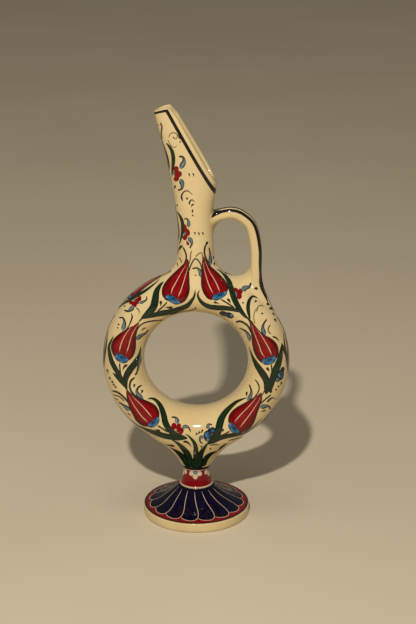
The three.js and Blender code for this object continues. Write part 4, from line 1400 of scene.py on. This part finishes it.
def paint_neck():
    """Neck: the strokes seen from the front, the same behind, and tulips on the pouring side between."""
    for chart in ("front", "back"):
        for colour, kind, width, line in NECK_STROKES:
            stroke(chart, colour, kind, width, line)
        for width, line, heavy in NECK_LEAFLETS:
            leaflet(chart, width, line, heavy)
        for colour, width, first, last in NECK_DABS:
            dab(chart, colour, width, first, last)
    wide = BEAK_TULIP_WIDTH
    for foot, tall in BEAK_TULIPS:
        left, right = ([(s * x * wide, foot + y * tall) for x, y in BEAK_TULIP_EDGE] for s in (-1, 1))
        creams = [[(s * x * wide, foot + y * tall) for x, y in BEAK_TULIP_CREAM] for s in (-1, 1)]
        calyx = [[(x, foot + y) for x, y in line] for line in (BEAK_CALYX_TOP, BEAK_CALYX_LOW)]
        tulip("neck", left, right, creams, calyx, SMALL_TULIP)
        stroke("neck", "dark", "line", BEAK_STALK_WIDTH, [(x, foot + y) for x, y in BEAK_STALK])


# The dark line beside the mouth's edge: millimetres in from the slope, square to it, and down from the lip
MOUTH_LINE = (MOUTH_BULGE + 1.3, MOUTH_BULGE + 3.7)
LIP_LINE = (0.5, 2.3)


def paint_mouth():
    """A dark line that runs round the neck just inside the edge of the slanted mouth."""
    turn = np.linspace(-np.pi, np.pi, 301)[:, None]
    inward = np.linspace(MOUTH_LINE[0], MOUTH_LINE[1], 3)[None, :]
    drop = np.linspace(LIP_LINE[0], LIP_LINE[1], 3)[None, :]
    height = mouth_height(turn + np.pi + 0 * inward, inward + 0 * turn, drop + 0 * turn)
    mark("neck", "black", np.stack([turn * NECK_RADIUS + 0 * inward, height], -1))


# The dark line along the handle's outer edges, by share of the handle's path: where it starts, where the
# wedge at the neck ends and the even line begins, and where it stops
LINE_START, LINE_WEDGE, LINE_EVEN, LINE_STOP = 0.075, 0.12, 0.13, 0.875

# Where the line changes, and over which span: at the wedge, at its end, on the way down and lowest
WEDGE_SPAN = 0.07
LINE_END, END_SPAN, END_LEAST = 0.885, 0.05, 0.15
DOWN_FROM, DOWN_SPAN = 0.3, 0.15
LOW_FROM, LOW_SPAN = 0.58, 0.1

# Turn and width of the line in radians round the handle, then what those stretches change
LINE_TURN, LINE_WIDTH = 0.9, 0.5
WEDGE_TURN, WEDGE_WIDTH = 0.25, 0.8
DOWN_TURN, DOWN_WIDTH = 0.12, 0.22
LOW_TURN, LOW_WIDTH = 0.08, 0.18

# The wedge's tip on the neck, in photo pixels, and the commas on the handle's outer face
WEDGE_TOP = ((211.2, 217.4), (213.0, 212.9), (215.4, 211.0), (220.5, 211.2))
WEDGE_LOW = ((211.4, 217.8), (213.2, 216.9), (215.6, 215.7), (220.5, 213.6))
COMMAS = 24
COMMA_FIRST, COMMA_LAST = 0.14, 0.86
COMMA_LEAN = 0.22
COMMA_WIDTH = 0.24
COMMA_STEP = 0.004


def paint_handle():
    """Handle: a dark line along both outer edges, wedged at the neck, and commas on the outer face."""
    along = np.concatenate([np.linspace(LINE_START, LINE_WEDGE, 12), np.linspace(LINE_EVEN, LINE_STOP, 76)])
    along = along[:, None]
    wedge = np.clip((LINE_WEDGE - along) / WEDGE_SPAN, 0.0, 1.0)
    end = np.clip((LINE_END - along) / END_SPAN, END_LEAST, 1.0)
    down = np.clip((along - DOWN_FROM) / DOWN_SPAN, 0.0, 1.0) * end
    low = np.clip((along - LOW_FROM) / LOW_SPAN, 0.0, 1.0)
    middle = LINE_TURN - WEDGE_TURN * wedge - (DOWN_TURN + LOW_TURN * low) * down
    width = LINE_WIDTH * end + (DOWN_WIDTH - LOW_WIDTH * low) * down + WEDGE_WIDTH * wedge
    t = np.linspace(-0.5, 0.5, 4)[None, :]
    for side in (-1, 1):
        mark("handle", "black", np.stack([along + 0 * t, side * (middle + width * t)], -1))
    for chart in ("front", "back"):
        petal(chart, "black", WEDGE_TOP, WEDGE_LOW, 18, 7)
    for k, s in enumerate(np.linspace(COMMA_FIRST, COMMA_LAST, COMMAS)):
        lean = COMMA_LEAN if k % 2 else -COMMA_LEAN
        line = [(s, lean), (s + 0.008, 0.2 * lean), (s + 0.012, -0.6 * lean)]
        stroke("handle", "dark", "comma", COMMA_WIDTH, line, COMMA_STEP)


# Tulips of the outer rim: degrees round the ring and the way that they point; their lines and those of
# their leaves are degrees along from the tulip's middle and millimetres across
RIM_TULIPS = ((123.0, -1), (170.0, -1), (217.0, -1), (10.0, 1), (-37.0, 1))
RIM_EDGE = ((-13.0, 0.0), (-12.2, 4.4), (-8.0, 6.8), (-2.0, 6.4), (5.0, 3.9), (13.0, 0.2))
RIM_CREAM = ((-9.0, 1.2), (-1.0, 1.3), (9.0, 0.4))
RIM_CALYX_TOP = ((-10.6, -4.8), (-9.4, -2.4), (-10.2, 0.0), (-9.4, 2.4), (-10.6, 4.8))
RIM_CALYX_LOW = ((-11.6, -4.4), (-13.4, -2.4), (-14.0, 0.0), (-13.4, 2.4), (-11.6, 4.4))
RIM_STALK = ((-13.6, 0.0), (-18.0, 0.6), (-22.0, 0.0))
RIM_TENDRIL = ((12.0, 0.2), (15.0, -1.4), (18.5, -2.0))
RIM_BUD = ((17.6, -2.0), (20.4, -2.2))
RIM_LINE_WIDTH = 1.0
RIM_BUD_WIDTH = 2.0
RIM_LEAF_WIDTH = 3.6
RIM_LEAF = ((-23.0, 1.5), (-18.0, 2.8), (-11.5, 6.8), (-4.5, 8.8), (1.5, 9.0), (7.7, 6.6), (10.4, 3.8))


def rim_tulip(middle, way):
    """A tulip between two leaves on the outer rim, with its stalk and a tendril that ends in a bud."""
    def across(line, s=1):
        """A line placed on the rim, mirrored across it where s is -1."""
        return [(middle + way * u, s * v) for u, v in line]

    creams = [across(RIM_CREAM, s) for s in (-1, 1)]
    calyx = (across(RIM_CALYX_TOP), across(RIM_CALYX_LOW))
    tulip("rim", across(RIM_EDGE, -1), across(RIM_EDGE), creams, calyx, SMALL_TULIP)
    stroke("rim", "dark", "line", RIM_LINE_WIDTH, across(RIM_STALK))
    stroke("rim", "dark", "line", RIM_LINE_WIDTH, across(RIM_TENDRIL))
    dab("rim", "grey", RIM_BUD_WIDTH, *across(RIM_BUD))
    for s in (-1, 1):
        stroke("rim", "green", "leaf", RIM_LEAF_WIDTH, across(RIM_LEAF, s))


def paint_rim():
    """Outer rim: tulips between leaves, pointing up both sides towards the neck."""
    for middle, way in RIM_TULIPS:
        rim_tulip(middle, way)


# The foot's petals: how many, degrees to the first, and its line and side as degrees along and radius
PETALS = 16
PETAL_START = -93.4
PETAL_LINE = ((0.0, 13.2), (4.1, 20.0), (8.9, 29.4), (6.5, 34.6), (0.0, 36.5), (-8.0, 35.9), (-13.0, 34.4),
              (-15.2, 33.4))
PETAL_SIDE = ((0.0, 13.2), (4.1, 20.0), (8.9, 29.4), (7.3, 33.4))
PETAL_TIP = (0.5, 13.9)
PETAL_EDGE_WIDTH = 0.44

# Lines round the foot and the collar: colour, radius or height, and width; flowers under the collar's top
FOOT_LINE = ("black", 39.2, 1.2)
COLLAR_LINES = (("red", 36.8, 0.9), ("cream", 37.85, 1.1), ("black", 39.75, 2.7))
FLOWERS = 5
FLOWER_TOP = 36.9
FLOWER_PETALS = ((-58, 0.8, 6.0), (0, 1.6, 6.3), (58, 0.8, 6.0))
FLOWER_PETAL_WIDTH = 4.4
FLOWER_GAPS = (-29, 29)
FLOWER_GAP_LINE = (6.2, 4.9, 3.4)
FLOWER_GAP_WIDTH = 0.5
FLOWER_OVERLAP = 0.1
FLOWER_BOW = ((-2.3, 0.0), (-1.7, -1.7), (0.0, -2.7), (1.7, -1.7), (2.3, 0.0))


def ring_line(chart, colour, place, width, around):
    """A line all round the foot or the collar."""
    turn = np.linspace(0, around, 181)[:, None]
    t = np.linspace(-0.5, 0.5, 3)[None, :]
    mark(chart, colour, np.stack([turn + 0 * t, place + width * t + 0 * turn], -1))


def stroke_polar(colour, width, line):
    """A stroke on the foot, drawn in the plan and then turned into degrees and radius."""
    turn, radius = np.radians(line[:, 0]), line[:, 1]
    plan = np.stack([radius * np.cos(turn), radius * np.sin(turn)], -1)
    grid = brushed(spaced(plan, 34), "line", width)
    start = turn[0]
    c, s = np.cos(-start), np.sin(-start)
    x = grid[..., 0] * c - grid[..., 1] * s
    y = grid[..., 0] * s + grid[..., 1] * c
    polar = np.stack([np.degrees(np.arctan2(y, x) + start), np.hypot(x, y)], -1)
    mark("foot", colour, polar)


def half_flower(middle):
    """A cream half-flower that hangs from the collar's top line: three round petals about a grey
    half-disc."""
    def out(lean, *reaches):
        """Places at distances from the flower's middle, at degrees from straight down."""
        a = np.radians(lean)
        return [(middle + reach * np.sin(a), FLOWER_TOP - reach * np.cos(a)) for reach in reaches]

    for lean, near, far in FLOWER_PETALS:
        dab("collar", "cream", FLOWER_PETAL_WIDTH, *out(lean, near, far))
    for lean in FLOWER_GAPS:
        stroke("collar", "dark", "tail", FLOWER_GAP_WIDTH, out(lean, *FLOWER_GAP_LINE))
    petal("collar", "grey", [(middle + x, FLOWER_TOP + y) for x, y in FLOWER_BOW],
          [(middle + x, FLOWER_TOP + FLOWER_OVERLAP) for x, _ in FLOWER_BOW], 12, 5)


def paint_foot():
    """Foot: navy petals edged with cream lines that hook round their ends, a dark edge line, the collar's
    lines and its cream flowers."""
    step = 360.0 / PETALS
    for k in range(PETALS):
        turn = PETAL_START + step * k
        line = [(turn + u, r) for u, r in PETAL_LINE]
        petal("foot", "navy", line, [(turn - step + u, r) for u, r in PETAL_SIDE], 36, 13)
        stroke_polar("cream", PETAL_EDGE_WIDTH, np.array([(turn + PETAL_TIP[0], PETAL_TIP[1])] + line[1:]))
    ring_line("foot", *FOOT_LINE, 360.0)
    around = 2 * np.pi * COLLAR_MIDDLE
    for band in COLLAR_LINES:
        ring_line("collar", *band, around)
    for k in range(FLOWERS):
        half_flower(around * k / FLOWERS)


paint_side("front")
paint_side("back")
paint_neck()
paint_mouth()
paint_handle()
paint_rim()
paint_foot()
lay_paint()


# Floor, light and camera: sizes and places in metres
FLOOR_HALF = 14.0
FLOOR_ROUGHNESS = 0.9
FLOOR_SHEEN = 0.1
WARM_LIGHT = (1.0, 0.95, 0.88)
KEY_PLACE, KEY_AIM = (-0.14, -1.5, 1.45), (0.0, 0.0, 0.14)
KEY_SIZE, KEY_POWER = 0.055, 34.0
TOP_PLACE, TOP_AIM = (-0.1, -0.3, 1.9), (0.0, 0.0, 0.1)
TOP_SIZE, TOP_POWER = 0.5, 3.2
ROOM_STRENGTH = 0.2
CLIP_END = 50.0


def make_floor():
    """A plain pale floor, wide enough to fill the view."""
    finish, nodes, links, shader = new_finish("floor_plain", FLOOR_ROUGHNESS, FLOOR_SHEEN)
    place = nodes.new("ShaderNodeTexCoord").outputs["Object"]
    tone = ramp(nodes, links, noise(nodes, links, place, 3.0, 2.0), [
        (0.3, srgb(203, 189, 162)), (0.7, srgb(209, 196, 170))])
    links.new(tone, shader.inputs["Base Color"])
    mesh = bpy.data.meshes.new("floor_plain")
    corners = [(x * FLOOR_HALF, y * FLOOR_HALF, 0.0) for x, y in ((-1, -1), (1, -1), (1, 1), (-1, 1))]
    mesh.from_pydata(corners, [], [(0, 1, 2, 3)])
    mesh.materials.append(finish)
    floor = bpy.data.objects.new("floor_plain", mesh)
    bpy.context.scene.collection.objects.link(floor)


def lamp(name, place, aim, size, power, glint):
    """A square soft lamp that looks at a point, with or without a glint of its own."""
    data = bpy.data.lights.new(name, "AREA")
    data.shape = "SQUARE"
    data.size = size
    data.energy = power
    data.color = WARM_LIGHT
    obj = bpy.data.objects.new(name, data)
    obj.visible_glossy = glint
    obj.location = place
    obj.rotation_euler = (Vector(aim) - Vector(place)).to_track_quat("-Z", "Y").to_euler()
    bpy.context.scene.collection.objects.link(obj)


def make_world():
    """Even soft light from all round."""
    world = bpy.data.worlds.new("soft_room")
    world.use_nodes = True
    back = world.node_tree.nodes["Background"]
    back.inputs["Color"].default_value = srgb(236, 230, 220)
    back.inputs["Strength"].default_value = ROOM_STRENGTH
    bpy.context.scene.world = world


def make_camera():
    """The photograph's viewing angle: eye, aim and focal length from the fitted view."""
    data = bpy.data.cameras.new("photo_view")
    data.sensor_fit = "VERTICAL"
    data.sensor_height = SENSOR
    data.lens = FOCAL * SENSOR / PHOTO_HEIGHT
    data.clip_end = CLIP_END
    camera = bpy.data.objects.new("photo_view", data)
    camera.location = EYE * MM
    camera.rotation_euler = Vector(FORWARD).to_track_quat("-Z", "Y").to_euler()
    bpy.context.scene.collection.objects.link(camera)
    bpy.context.scene.camera = camera


make_floor()
make_world()
lamp("key_lamp", KEY_PLACE, KEY_AIM, KEY_SIZE, KEY_POWER, True)
lamp("top_lamp", TOP_PLACE, TOP_AIM, TOP_SIZE, TOP_POWER, False)
make_camera()
bpy.context.scene.view_settings.view_transform = "Standard"
